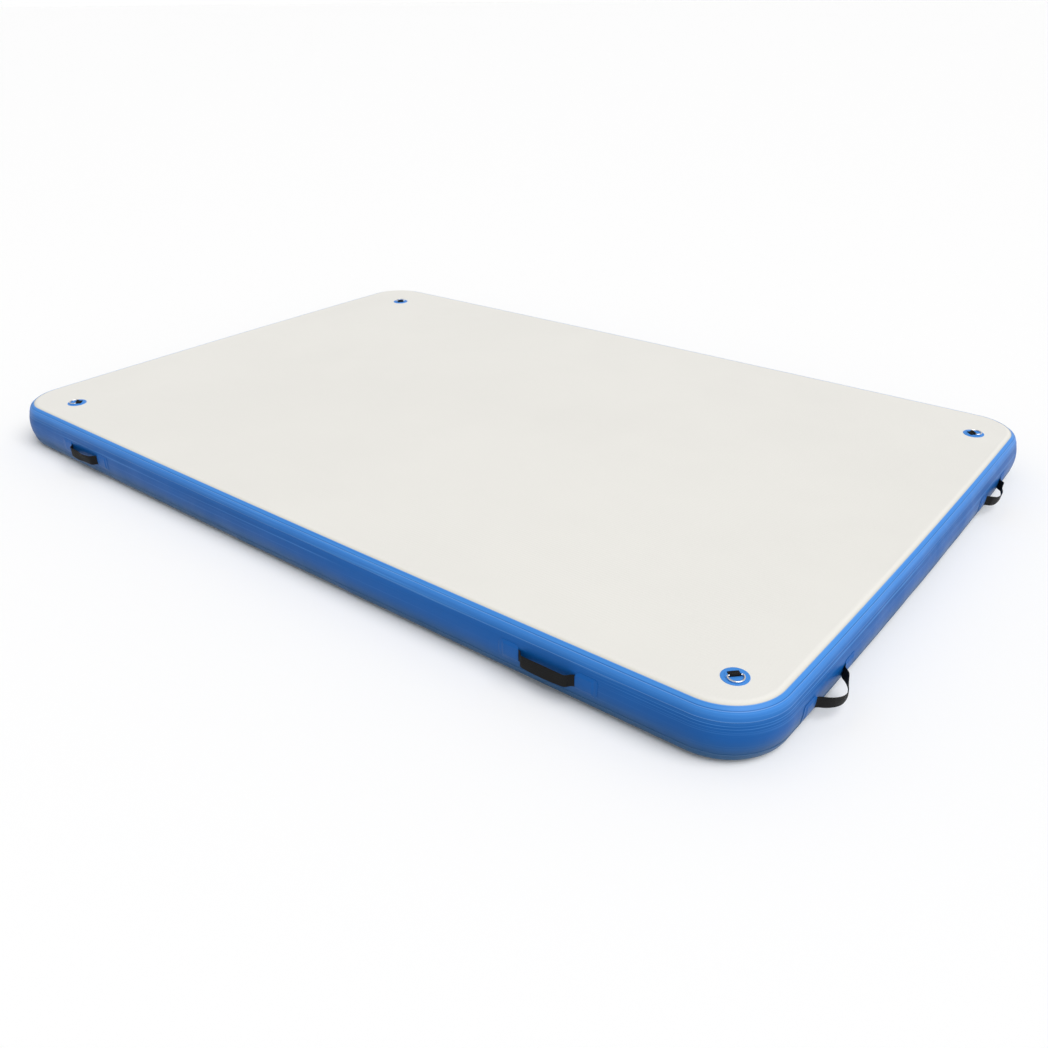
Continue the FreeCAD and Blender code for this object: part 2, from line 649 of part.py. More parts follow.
def build():
    top_skin = make_top_skin()
    seam_tape = make_seam_tape()
    inner_tape = make_inner_tape()
    long_strip, short_strip = make_side_wall()
    nodes = {
        "top_skin": top_skin,
        "bottom_skin": upside_down(top_skin),
        "drop_stitch_threads": make_threads(),
        "sidewall_long_strip": long_strip,
        "sidewall_short_strip": short_strip,
        "sidewall_joint_patches": make_joint_patches(),
        "top_seam_tape": seam_tape,
        "bottom_seam_tape": upside_down(seam_tape),
        "top_inner_tape": inner_tape,
        "bottom_inner_tape": upside_down(inner_tape),
    }
    for name, (wall, along, bow, droop, lean) in HANDLES.items():
        tails = mirrored_pair(sewn_end(bow))
        patches = mirrored_pair(end_patch(bow))
        nodes["handle_strap_" + name] = on_wall(free_strap(bow, droop), wall, along, lean)
        nodes["handle_sewn_ends_" + name] = on_wall(tails, wall, along, lean)
        nodes["handle_end_patches_" + name] = on_wall(patches, wall, along, lean)
    for name, place in D_RINGS.items():
        nodes["d_ring_base_" + name] = on_top(ring_base(), *place)
        nodes["d_ring_cover_" + name] = on_top(ring_cover(), *place)
        nodes["d_ring_webbing_" + name] = on_top(ring_webbing(), *place)
        nodes["d_ring_" + name] = on_top(d_ring(), *place)
    valve = {
        "valve_body": valve_body(),
        "valve_saddle_gasket": valve_saddle(),
        "valve_backing_nut": valve_nut(),
        "valve_plunger": valve_plunger(),
        "valve_seal_disc": valve_disc(),
        "valve_spring": valve_spring(),
        "valve_cap": valve_cap(),
        "valve_cap_tether": valve_tether(),
    }
    for name, shape in valve.items():
        nodes[name] = on_wall(shape, "left", VALVE_Y)
    return nodes


if __name__ == "__main__":
    os.makedirs("parts", exist_ok=True)
    for node, shape in build().items():
        print(node, len(shape.Solids), shape.isValid(), round(shape.Volume, 1))
        shape.exportStep("parts/" + node + ".step")
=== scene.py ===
import math

import bmesh
import bpy
import numpy as np
from mathutils import Matrix, Vector


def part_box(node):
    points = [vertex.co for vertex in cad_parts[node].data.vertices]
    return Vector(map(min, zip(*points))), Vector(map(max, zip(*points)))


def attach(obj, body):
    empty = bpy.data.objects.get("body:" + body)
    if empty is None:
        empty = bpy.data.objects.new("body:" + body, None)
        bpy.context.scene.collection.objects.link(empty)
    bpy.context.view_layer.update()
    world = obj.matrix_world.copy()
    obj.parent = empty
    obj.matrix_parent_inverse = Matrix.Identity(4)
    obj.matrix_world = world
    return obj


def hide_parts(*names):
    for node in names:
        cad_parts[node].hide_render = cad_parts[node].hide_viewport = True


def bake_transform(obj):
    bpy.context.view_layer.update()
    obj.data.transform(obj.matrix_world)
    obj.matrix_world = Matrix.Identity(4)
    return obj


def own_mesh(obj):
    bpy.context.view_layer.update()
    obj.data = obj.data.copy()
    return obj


# Air track mat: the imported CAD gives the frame, and this script builds its looks in metres,
# in the same frame (+X along the length, -Y the front, +Z up, the floor at z = 0).

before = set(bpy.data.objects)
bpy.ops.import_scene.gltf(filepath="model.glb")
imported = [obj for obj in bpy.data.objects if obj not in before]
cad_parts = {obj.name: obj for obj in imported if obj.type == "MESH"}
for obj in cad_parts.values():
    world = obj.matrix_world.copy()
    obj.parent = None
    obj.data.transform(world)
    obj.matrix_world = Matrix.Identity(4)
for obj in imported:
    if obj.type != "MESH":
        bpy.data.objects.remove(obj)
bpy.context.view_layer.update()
MM = 0.001

# ---- sizes, as in the CAD model, in metres and degrees ----

wall_low, wall_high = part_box("sidewall_long_strip")
LENGTH = 2 * wall_high.x
WIDTH = -2 * wall_low.y
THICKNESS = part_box("top_skin")[1].z
MID = THICKNESS / 2
CORNER_RADIUS = 170 * MM
SIDE_BOW = 8 * MM
SHOULDER = 34 * MM               # radius of the skin's roll
BULGE = 43.7 * MM                # how far the skin goes past the flat face
FABRIC = 1.2 * MM
TAPE = 0.9 * MM
GLUE = 0.1 * MM
WALL_OUTER = GLUE + FABRIC       # the side wall's outer face, from the skin's
WALL_OUT = BULGE + WALL_OUTER    # the side wall's outer face, from the flat face
SEAM_ANGLE = 60.0                # angles of the section are those of its normal, above level
SKIN_EDGE_ANGLE = 24.0
TAPE_TOP, TAPE_FOOT = 39.0, 19.5
JOINT_PATCH_ANGLE = 17.0
JOINT_PATCH_WIDTH = 100 * MM
BACK_JOINT_X, LEFT_JOINT_Y = -0.600, 0.300
VALVE_Y = -0.250
VALVE_HOLE = 22.6 * MM           # radius

WEB_WIDTH, WEB_THICK = 32 * MM, 1.8 * MM
HINGE_OUT, HINGE_HALF = 18 * MM, 58 * MM
TAIL_UNDER = 45 * MM             # of a strap's end, under its patch
TAIL_BEND, TAIL_ANGLE = 10 * MM, math.radians(56)
END_PATCH_LENGTH, END_PATCH_HEIGHT, END_PATCH_CORNER = 60 * MM, 50 * MM, 12 * MM
PATCH_RAMP = 6.5 * MM            # from the strap's end down to the wall
# name: (wall, place along it, bow, droop, lean)
HANDLES = {
    "front_left": ("front", -0.991, 0.003, 2.0, 1.5),
    "front_right": ("front", 0.967, 0.002, 0.0, -0.5),
    "right_front": ("right", -0.645, 0.025, 5.0, 7.0),
    "right_back": ("right", 0.575, 0.013, 9.0, 6.5),
    "back_right": ("back", 1.000, 0.012, 12.0, 2.0),
    "back_left": ("back", -1.000, 0.020, 25.0, 5.0),
    "left_back": ("left", 0.610, 0.022, 16.0, 4.0),
    "left_front": ("left", -0.610, 0.008, 10.0, 5.0),
}
# name: (x, y, heading of the round end)
D_RINGS = {
    "front_left": (-1.258, -0.855, -135.0),
    "front_right": (1.362, -0.855, -45.0),
    "back_left": (-1.258, 0.783, 135.0),
    "back_right": (1.362, 0.783, 45.0),
}
RING_BASE_RADIUS, RING_COVER_RADIUS = 32 * MM, 23 * MM
RING_WIRE = 1.9 * MM
RING_WEB_WIDTH, RING_WEB_THICK, RING_WEB_LENGTH = 26 * MM, 1.2 * MM, 16 * MM
WINDOW_LOW, WINDOW_HIGH = -17.2 * MM, 6.9 * MM   # of the cover's window, along the heading
WINDOW_HALF, WINDOW_CORNER, WINDOW_REACH = 14.0 * MM, 3.0 * MM, 21.6 * MM
STITCH_LENGTH, STITCH_RADIUS = 1.9 * MM, 0.32 * MM
STITCHES_ACROSS, STITCHES_ALONG = np.arange(-10.4, 10.5, 2.6) * MM, np.array([-12.2, -10.2]) * MM

SPRING_LOW, SPRING_HIGH = -19.3 * MM, -6.7 * MM
SPRING_RADIUS, SPRING_WIRE, SPRING_TURNS = 5.2 * MM, 0.5 * MM, 5

CALM_NEAR, CALM_FAR = 0.14, 0.24                 # where the wall's ripples begin, from a handle
SLOW_RIPPLE, FINE_RIPPLE, LAP_STEP = 0.16 * MM, 0.05 * MM, 0.55 * MM

# ---- how finely the meshes are divided ----

SPACING = 14 * MM                # stations along a side
CORNER_STEPS = 14                # each side of a corner's middle
WALL_STEP, TAPE_STEP = 1.9, 1.6  # degrees between rows
ROLL_ANGLES = (86, 81, 76, 71, 66, 61, 56, 50, 44, 38, 32, 28, SKIN_EDGE_ANGLE)
PORT_WINDOW, PORT_WINDOW_ANGLE, PORT_RINGS = 31 * MM, 21.5, 4    # round the valve's hole
STRAP_STEP, RING_WEB_STEP = 1.0 * MM, 0.5 * MM
STRAP_ACROSS = 11


# ---- the wall's section and the plan outline ----

_spread, _rise = BULGE - SHOULDER, MID - SHOULDER
_meet = 2 * math.atan2(_spread, _rise)
MEET_ANGLE = math.degrees(_meet)
WALL_RADIUS = _rise / math.sin(_meet) + SHOULDER
WALL_CENTRE = -_rise / math.sin(_meet) * math.cos(_meet)


def section(angle, offset):
    """(out, z) of the section where the normal is angle degrees above level."""
    angle, offset = np.broadcast_arrays(np.asarray(angle, float), np.asarray(offset, float))
    a = np.radians(angle)
    on_wall_arc = np.abs(angle) < MEET_ANGLE
    radius = np.where(on_wall_arc, WALL_RADIUS, SHOULDER) + offset
    centre = np.where(on_wall_arc, WALL_CENTRE, 0.0)
    lift = np.where(on_wall_arc, 0.0, np.copysign(_rise, angle))
    return centre + radius * np.cos(a), MID + lift + radius * np.sin(a)


def section_run(angle):
    """Distance along the section from mid-height up to an angle."""
    a = np.abs(np.radians(angle))
    run = np.minimum(a, _meet) * WALL_RADIUS + np.maximum(a - _meet, 0) * SHOULDER
    return np.copysign(run, angle)


CORNER_X = LENGTH / 2 - SIDE_BOW - CORNER_RADIUS
CORNER_Y = WIDTH / 2 - SIDE_BOW - CORNER_RADIUS


def side_radius(half_run):
    return (half_run ** 2 / SIDE_BOW + 2 * CORNER_RADIUS + SIDE_BOW) / 2


END_RADIUS, FRONT_RADIUS = side_radius(CORNER_Y), side_radius(CORNER_X)
END_CENTRE, FRONT_CENTRE = LENGTH / 2 - END_RADIUS, WIDTH / 2 - FRONT_RADIUS
END_ANGLE = math.degrees(math.asin(CORNER_Y / (END_RADIUS - CORNER_RADIUS)))
FRONT_ANGLE = math.degrees(math.asin(CORNER_X / (FRONT_RADIUS - CORNER_RADIUS)))
WALLS = {
    "right": (END_CENTRE, 0.0, END_RADIUS, 0.0),
    "back": (0.0, FRONT_CENTRE, FRONT_RADIUS, 90.0),
    "left": (-END_CENTRE, 0.0, END_RADIUS, 180.0),
    "front": (0.0, -FRONT_CENTRE, FRONT_RADIUS, 270.0),
}


def wall_heading(wall, along):
    """Heading of a wall's outward direction at a place along it, in degrees."""
    turn = math.degrees(math.asin(along / WALLS[wall][2]))
    return WALLS[wall][3] + (-turn if wall in ("back", "left") else turn)


def outline_stations():
    """Stations round the outline: arc centre, radius and heading of each, from the front
    right corner's middle, and how many stations each side has."""
    rows, counts = [], []
    corners = [(1, -1), (1, 1), (-1, 1), (-1, -1), (1, -1)]
    for (wall, (x, y, radius, middle)), before, after in zip(WALLS.items(), corners, corners[1:]):
        on_end = wall in ("right", "left")
        half, other = (END_ANGLE, FRONT_ANGLE) if on_end else (FRONT_ANGLE, END_ANGLE)
        run = CORNER_Y if on_end else CORNER_X
        side_steps = int(round(2 * run / SPACING))
        mid_turn = (90 - other + half) / 2          # the corner's middle, from the wall's own
        shares = np.linspace(0, 1, CORNER_STEPS + 1)[:-1]
        first = len(rows)
        for t in shares:
            rows.append((before[0] * CORNER_X, before[1] * CORNER_Y, CORNER_RADIUS,
                         middle - mid_turn + t * (mid_turn - half)))
        for t in np.linspace(-1, 1, side_steps + 1)[:-1]:
            turn = math.degrees(math.asin(t * run / (radius - CORNER_RADIUS)))
            rows.append((x, y, radius, middle + turn))
        for t in shares:
            rows.append((after[0] * CORNER_X, after[1] * CORNER_Y, CORNER_RADIUS,
                         middle + half + t * (mid_turn - half)))
        counts.append(len(rows) - first)
    return np.array(rows), counts


STATIONS, SIDE_COUNTS = outline_stations()
TURN = np.radians(STATIONS[:, 3])
COS, SIN = np.cos(TURN), np.sin(TURN)
WIDEST = STATIONS[:, :2] + STATIONS[:, 2:3] * np.c_[COS, SIN]
_steps = np.linalg.norm(np.roll(WIDEST, -1, 0) - WIDEST, axis=1)
PERIMETER = _steps.sum()
ALONG = np.concatenate([[0], np.cumsum(_steps)[:-1]])


def round_outline(out, z):
    """Points at every station for sections given as arrays of out and z (stations x rows)."""
    reach = np.asarray(out) - WALL_OUT
    x = WIDEST[:, 0:1] + reach * COS[:, None]
    y = WIDEST[:, 1:2] + reach * SIN[:, None]
    return np.stack([x, y, np.broadcast_to(z, x.shape)], axis=-1)


def ripple(a, b, count, low, high, seed):
    """Sum of a few sine waves over a plane, with lengths from low to high."""
    r = np.random.default_rng(seed)
    k = 2 * math.pi / np.exp(r.uniform(math.log(low), math.log(high), count))
    angle = r.uniform(0, math.pi, count)
    phase = r.uniform(0, 2 * math.pi, count)
    total = np.zeros(np.broadcast(a, b).shape)
    for ka, kb, shift in zip(k * np.cos(angle), k * np.sin(angle), phase):
        total = total + np.sin(ka * a + kb * b + shift)
    return total / math.sqrt(count)


def smooth(low, high, value):
    """0 below low, 1 above high, an S-curve between."""
    t = np.clip((np.asarray(value, float) - low) / (high - low), 0, 1)
    return t * t * (3 - 2 * t)


def unit(rows):
    return rows / np.linalg.norm(rows, axis=1)[:, None]


# ---- meshes ----

def add_object(name, data):
    o = bpy.data.objects.new(name, data)
    bpy.context.scene.collection.objects.link(o)
    return o


def new_mesh(name, points, faces, body, slot, finish, replaced=(), sharp=35, weave=None):
    """A piece from arrays of points and faces, riding on a body (None leaves it free)."""
    mesh = bpy.data.meshes.new(name)
    mesh.from_pydata([tuple(p) for p in points], [], [tuple(int(i) for i in f) for f in faces])
    shape = bmesh.new()
    shape.from_mesh(mesh)
    if all(edge.is_manifold for edge in shape.edges):
        bmesh.ops.recalc_face_normals(shape, faces=shape.faces)
    shape.to_mesh(mesh)
    shape.free()
    mesh.update()
    mesh.polygons.foreach_set("use_smooth", [True] * len(mesh.polygons))
    if sharp:
        mesh.set_sharp_from_angle(angle=math.radians(sharp))
    if weave is not None:
        layer = mesh.attributes.new("cloth", "FLOAT_VECTOR", "POINT")
        layer.data.foreach_set("vector", np.asarray(weave, np.float32).ravel())
    mesh.materials.append(finish)
    piece = add_object(name, mesh)
    if body:
        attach(piece, body)
    if replaced:
        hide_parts(*replaced)
    return piece


def grid_faces(rows, columns, wrap_rows=False, wrap_columns=False, start=0, flip=False):
    """Quads over a grid of points stored row by row."""
    i = np.arange(rows if wrap_rows else rows - 1)
    j = np.arange(columns if wrap_columns else columns - 1)
    i, j = np.meshgrid(i, j, indexing="ij")
    ii, jj = (i + 1) % rows, (j + 1) % columns
    quads = np.stack([i * columns + j, ii * columns + j, ii * columns + jj, i * columns + jj], -1)
    quads = quads.reshape(-1, 4) + start
    return quads[:, ::-1] if flip else quads


def grid_border(rows, columns):
    """Indices round the border of a grid of points."""
    index = np.arange(rows * columns).reshape(rows, columns)
    return np.concatenate([index[:-1, 0], index[-1, :-1], index[:0:-1, -1], index[0, :0:-1]])


def tube_faces(rings, sides, start=0):
    """Faces of a tube that is capped at both ends."""
    last = start + (rings - 1) * sides
    return [*grid_faces(rings, sides, wrap_columns=True, start=start),
            range(start, start + sides), range(last, last + sides)[::-1]]


def tube_piece(name, rings, weave, **settings):
    """A closed tube from rings of points (path x section x 3)."""
    return new_mesh(name, rings.reshape(-1, 3), tube_faces(*rings.shape[:2]),
                    weave=weave.reshape(-1, 3), **settings)


def rounded_slab(width, thickness, across, crown):
    """Section of a strap as (across, through) points, with round edges."""
    r = thickness / 2 * (1 - crown)
    half = width / 2 - r
    flat = np.linspace(-half, half, across)
    height = r + (thickness / 2 - r) * (1 - (flat / (width / 2)) ** 2)
    turn = np.radians([-60, -30, 0, 30, 60])
    right = np.c_[half + r * np.cos(turn), r * np.sin(turn)]
    top = np.c_[flat[::-1], height[::-1]]
    left = np.c_[-half - r * np.cos(turn), -r * np.sin(turn)]
    bottom = np.c_[flat, -height]
    return np.concatenate([right, top, left, bottom])


# ---- materials: node helpers ----

def material(name, color, roughness, **sockets):
    """A material with values set on the shader; sockets use _ for a space."""
    m = bpy.data.materials.new(name)
    m.use_nodes = True
    bsdf = m.node_tree.nodes["Principled BSDF"]
    bsdf.inputs["Base Color"].default_value = (*color, 1)
    bsdf.inputs["Roughness"].default_value = roughness
    for key, value in sockets.items():
        bsdf.inputs[key.replace("_", " ")].default_value = value
    m.diffuse_color = (*color, 1)
    return m


class Nodes:
    """Short calls for building the node tree of a material or the world."""

    def __init__(self, m):
        self.tree = m.node_tree
        self.bsdf = self.tree.nodes.get("Principled BSDF")

    def node(self, kind, **values):
        n = self.tree.nodes.new("ShaderNode" + kind)
        for key, value in values.items():
            setattr(n, key, value)
        return n

    def put(self, socket, value):
        if isinstance(value, bpy.types.NodeSocket):
            self.tree.links.new(value, socket)
        else:
            socket.default_value = value

    def place(self):
        return self.node("TexCoord").outputs["Object"]

    def cloth(self):
        return self.node("Attribute", attribute_name="cloth").outputs["Vector"]

    def math(self, operation, a, b=0.0):
        n = self.node("Math", operation=operation)
        self.put(n.inputs[0], a)
        self.put(n.inputs[1], b)
        return n.outputs[0]

    def apart(self, a, b):
        return self.math("ABSOLUTE", self.math("SUBTRACT", a, b))

    def part(self, vector, axis):
        n = self.node("SeparateXYZ")
        self.put(n.inputs[0], vector)
        return n.outputs[axis]

    def noise(self, vector, scale, detail=3.0, roughness=0.55):
        n = self.node("TexNoise")
        self.put(n.inputs["Vector"], vector)
        n.inputs["Scale"].default_value = scale
        n.inputs["Detail"].default_value = detail
        n.inputs["Roughness"].default_value = roughness
        return n.outputs["Fac"]

    def stretch(self, vector, scale):
        n = self.node("Mapping")
        self.put(n.inputs["Vector"], vector)
        n.inputs["Scale"].default_value = scale
        return n.outputs["Vector"]

    def wave(self, value, pitch, phase=0.0):
        """A sine of a length in metres, from -1 to 1."""
        turned = self.math("MULTIPLY", value, 2 * math.pi / pitch)
        return self.math("SINE", self.math("ADD", turned, phase))

    def span(self, value, low, high, to_low, to_high):
        n = self.node("MapRange", interpolation_type="SMOOTHSTEP")
        self.put(n.inputs["Value"], value)
        for key, number in zip(("From Min", "From Max", "To Min", "To Max"),
                               (low, high, to_low, to_high)):
            n.inputs[key].default_value = number
        return n.outputs["Result"]

    def mix(self, factor, a, b):
        n = self.node("Mix", data_type="RGBA")
        self.put(n.inputs["Factor"], factor)
        for socket, value in ((n.inputs[6], a), (n.inputs[7], b)):
            self.put(socket, (*value, 1) if isinstance(value, tuple) else value)
        return n.outputs[2]

    def bump(self, height, distance, strength=1.0):
        n = self.node("Bump")
        self.put(n.inputs["Height"], height)
        n.inputs["Distance"].default_value = distance
        n.inputs["Strength"].default_value = strength
        before = self.bsdf.inputs["Normal"]
        if before.links:
            self.tree.links.new(before.links[0].from_socket, n.inputs["Normal"])
        self.put(before, n.outputs["Normal"])

    def color(self, value):
        self.put(self.bsdf.inputs["Base Color"], value)

    def rough(self, value):
        self.put(self.bsdf.inputs["Roughness"], value)


GREY = (0.822, 0.808, 0.765)
# painted shade: the darker, yellower grey of the skin where it rolls over the edge
SHADED_ROLL_GREY = (0.665, 0.640, 0.575)
BLUE = (0.003, 0.092, 0.345)
# painted highlight: the paler blue of the lit shoulder, high up
BLUE_LIT_SHOULDER = (0.060, 0.262, 0.705)
# painted shade: darker, greyer blue low on the wall
BLUE_LOW_SHADE = (0.014, 0.066, 0.128)


def grey_skin():
    """Matte coated fabric: faint scrim weave, stitched dimples, soft smudges and scuffs, and
    painted shade, darker and yellower, where it rolls over the edge.
    """
    m = material("grey_coated_fabric", GREY, 0.55, Specular_IOR_Level=0.35)
    n = Nodes(m)
    place = n.place()
    cloud = n.noise(place, 1.7, 4.0)
    smudge = n.noise(n.stretch(place, (1, 1.6, 1)), 7.0, 5.0, 0.6)
    tone = n.mix(n.span(cloud, 0.35, 0.65, 0, 1), (0.820, 0.806, 0.763), (0.832, 0.818, 0.774))
    from_middle = n.apart(n.part(place, 2), MID)
    # painted shade: darker and yellower where the skin rolls down over its edge
    tone = n.mix(n.span(from_middle, MID - 5 * MM, MID - 0.2 * MM, 1, 0), tone, SHADED_ROLL_GREY)
    fleck = n.span(n.noise(place, 420.0, 2.0), 0.60, 0.72, 0, 0.22)
    tone = n.mix(fleck, tone, (0.70, 0.68, 0.64))
    scuff = n.noise(n.stretch(place, (9, 90, 9)), 3.0, 6.0, 0.7)
    scuff = n.span(scuff, 0.66, 0.80, 0, 0.10)
    n.color(n.mix(scuff, tone, (0.88, 0.87, 0.84)))
    n.rough(n.span(smudge, 0.3, 0.7, 0.47, 0.62))
    x, y = n.part(place, 0), n.part(place, 1)
    weave = n.math("MULTIPLY", n.wave(x, 1.3 * MM), n.wave(y, 1.3 * MM))
    n.bump(weave, 0.03 * MM, 0.5)
    dimple = n.math("ADD", n.wave(x, 9 * MM), n.wave(y, 9 * MM, 0.8))
    n.bump(dimple, 0.06 * MM, 0.6)
    n.bump(n.noise(place, 55.0, 3.0), 0.25 * MM, 0.5)
    return m


def blue_vinyl(name, tint=1.0, rough=0.40, edges=(), laps=(), rolled=True):
    """Semi-gloss coated fabric: a painted highlight makes it paler high up, on the rolled
    shoulder; painted shade makes it darker and greyer low down, a little patchy; painted
    highlight and shade streaks along the roll; fine grain, a faint scrim and handling marks.
    edges are the arc heights and strengths of pale cut edges, partly painted highlights,
    laps the heights of glued steps beneath, each with a thin line of painted shade."""
    base = tuple(c * tint for c in BLUE)
    m = material(name, base, rough, Specular_IOR_Level=0.17)
    n = Nodes(m)
    place, cloth = n.place(), n.cloth()
    height = n.part(place, 2)
    u, v = n.math("ADD", n.part(cloth, 0), n.part(cloth, 2)), n.part(cloth, 1)
    cloud = n.noise(place, 2.6, 4.0)
    deep = tuple(c * 0.94 for c in base)
    light = tuple(min(1, c * 1.06) for c in base)
    tone = n.mix(n.span(cloud, 0.35, 0.65, 0, 1), deep, light)
    # painted highlight: paler blue high up on the shoulder, where the light falls
    pale = tuple(c * tint for c in BLUE_LIT_SHOULDER)
    tone = n.mix(n.span(height, 0.106, 0.150, 0, 1), tone, pale)
    # painted shade: darker and greyer towards the bottom of the wall, a little patchy
    painted_low_shade = n.math("MULTIPLY", n.span(height, 0.004, 0.084, 0.95, 0),
                    n.span(n.noise(place, 9.0, 5.0), 0.25, 0.55, 0.80, 1.0))
    tone = n.mix(painted_low_shade, tone, BLUE_LOW_SHADE)
    streak = n.noise(n.stretch(cloth, (0.8, 150, 0.8)), 1.0, 4.0, 0.65)
    shoulder = n.span(height, 0.080, 0.110, 0.25, 1)
    if rolled:
        # painted highlight and painted shade: lighter and darker streaks along the roll, strongest
        # on the shoulder
        tone = n.mix(n.math("MULTIPLY", n.span(streak, 0.52, 0.66, 0, 0.38), shoulder), tone,
                     (0.115, 0.360, 0.800))
        tone = n.mix(n.math("MULTIPLY", n.span(streak, 0.48, 0.34, 0, 0.28), shoulder), tone,
                     (0.010, 0.130, 0.460))
    rub = n.noise(n.stretch(cloth, (6, 60, 6)), 2.2, 6.0, 0.7)
    tone = n.mix(n.span(rub, 0.62, 0.82, 0, 0.12), tone, (0.10, 0.28, 0.60))
    reach = n.math("ABSOLUTE", v)
    # painted shade: a thin darker line along each glued step
    for at in laps:
        off = n.apart(reach, at)
        tone = n.mix(n.span(off, 0.4 * MM, 1.6 * MM, 0.45, 0), tone, (0.006, 0.085, 0.330))
    # pale cut edges, partly a painted highlight: a lighter line along each edge
    for at, share in edges:
        off = n.apart(reach, at)
        tone = n.mix(n.span(off, 0.5 * MM, 1.6 * MM, share, 0), tone, (0.330, 0.520, 0.800))
    n.color(tone)
    n.rough(n.span(n.noise(place, 6.0, 5.0, 0.6), 0.3, 0.7, rough - 0.05, rough + 0.09))
    weave = n.math("MULTIPLY", n.wave(u, 1.2 * MM), n.wave(v, 1.2 * MM))
    n.bump(weave, 0.02 * MM, 0.4)
    if rolled:
        n.bump(streak, 0.20 * MM, 0.5)
    n.bump(n.noise(cloth, 260.0, 2.0), 0.04 * MM, 0.5)
    n.bump(n.noise(n.stretch(cloth, (1, 0.35, 1)), 24.0, 3.0), 0.55 * MM, 0.5)
    return m


def black_webbing(name, along_pitch=3.0 * MM, across_pitch=2.0 * MM):
    """Woven polypropylene strap: herringbone ribs, crossing yarns, pale fluff on the ribs."""
    m = material(name, (0.007, 0.007, 0.007), 0.66, Specular_IOR_Level=0.16)
    n = Nodes(m)
    cloth = n.cloth()
    along, across = n.part(cloth, 0), n.part(cloth, 1)
    fold = n.apart(n.math("FRACT", n.math("DIVIDE", across, 8 * MM)), 0.5)
    slant = n.math("ADD", along, n.math("MULTIPLY", fold, 12 * MM))
    rib = n.wave(slant, along_pitch)
    yarn = n.wave(across, across_pitch)
    weave = n.math("ADD", n.math("MULTIPLY", rib, 0.6), n.math("MULTIPLY", yarn, 0.4))
    fluff = n.noise(cloth, 1600.0, 3.0, 0.7)
    tone = n.mix(n.span(weave, -0.4, 0.9, 0, 1), (0.004, 0.004, 0.004), (0.012, 0.012, 0.012))
    tone = n.mix(n.span(fluff, 0.62, 0.8, 0, 0.18), tone, (0.06, 0.06, 0.06))
    n.color(tone)
    n.rough(n.span(weave, -1.0, 1.0, 0.78, 0.52))
    n.bump(weave, 0.30 * MM, 0.8)
    n.bump(fluff, 0.05 * MM, 0.5)
    return m


def steel():
    """Polished welded ring: fine lengthwise scratches and duller worn patches."""
    m = material("polished_steel", (0.90, 0.90, 0.90), 0.26, Metallic=1.0)
    n = Nodes(m)
    place = n.place()
    wear = n.noise(place, 180.0, 4.0)
    n.rough(n.span(wear, 0.35, 0.7, 0.20, 0.36))
    n.color(n.mix(n.span(wear, 0.5, 0.75, 0, 0.5), (0.92, 0.92, 0.92), (0.80, 0.80, 0.79)))
    n.bump(n.noise(n.stretch(place, (1, 1, 8)), 900.0, 2.0), 0.01 * MM, 0.5)
    return m


def moulded(name, color, rough):
    """Moulded plastic or rubber: a fine spark-eroded grain and uneven gloss."""
    m = material(name, color, rough)
    n = Nodes(m)
    place = n.place()
    light = tuple(min(1, c * 1.15 + 0.01) for c in color)
    n.color(n.mix(n.span(n.noise(place, 70.0, 4.0), 0.35, 0.7, 0, 1), color, light))
    n.rough(n.span(n.noise(place, 160.0, 3.0), 0.3, 0.7, rough - 0.07, rough + 0.07))
    n.bump(n.noise(place, 2600.0, 2.0), 0.03 * MM, 0.6)
    return m


GREY_SKIN = grey_skin()
# the seam's pale edge is partly a painted highlight; the laps carry thin lines of painted shade
BLUE_WALL = blue_vinyl("blue_coated_fabric", edges=((section_run(SEAM_ANGLE) - 0.3 * MM, 0.60),),
                       laps=(section_run(SKIN_EDGE_ANGLE), section_run(TAPE_TOP) + 0.8 * MM))
# the tape's pale edges are partly painted highlights
BLUE_TAPE = blue_vinyl("blue_seam_tape", 1.03, 0.38,
                       edges=((section_run(TAPE_TOP) - 0.4 * MM, 0.30),
                              (section_run(TAPE_FOOT) + 0.4 * MM, 0.14)))
BLUE_PATCH = blue_vinyl("blue_patch_fabric", 1.03, 0.40, rolled=False)
WEBBING = black_webbing("black_webbing")
FINE_WEBBING = black_webbing("fine_black_webbing", 2.2 * MM, 1.4 * MM)
THREAD = moulded("black_thread", (0.012, 0.012, 0.012), 0.6)
STEEL = steel()
VALVE_PLASTIC = moulded("valve_plastic", (0.055, 0.058, 0.062), 0.42)
VALVE_BUTTON = moulded("valve_button_plastic", (0.72, 0.72, 0.70), 0.38)
RUBBER = moulded("soft_rubber", (0.022, 0.022, 0.022), 0.62)
SPRING_STEEL = steel()


# ---- skins ----

def skin_points():
    """Grid over the flat face: border stations, filled in between opposite sides."""
    starts = np.concatenate([[0], np.cumsum(SIDE_COUNTS)])
    border = WIDEST - WALL_OUT * np.c_[COS, SIN]
    closed = np.concatenate([border, border[:1]])
    right, back, left, front = (closed[a:b + 1] for a, b in zip(starts, starts[1:]))
    back, left = back[::-1], left[::-1]
    nx, ny = len(front), len(right)

    def share(line, axis):
        t = line[:, axis] - line[0, axis]
        return t / t[-1]

    u, v = share(front, 0)[None, :, None], share(right, 1)[:, None, None]
    edges = (1 - v) * front[None] + v * back[None] + (1 - u) * left[:, None] + u * right[:, None]
    corners = ((1 - u) * (1 - v) * front[0] + u * (1 - v) * front[-1]
               + (1 - u) * v * back[0] + u * v * back[-1])
    index = np.arange(nx * ny).reshape(ny, nx)
    ring = np.concatenate([index[:-1, -1], index[-1, :0:-1], index[:0:-1, 0], index[0, :-1]])
    return (edges - corners).reshape(-1, 2), nx, ny, ring


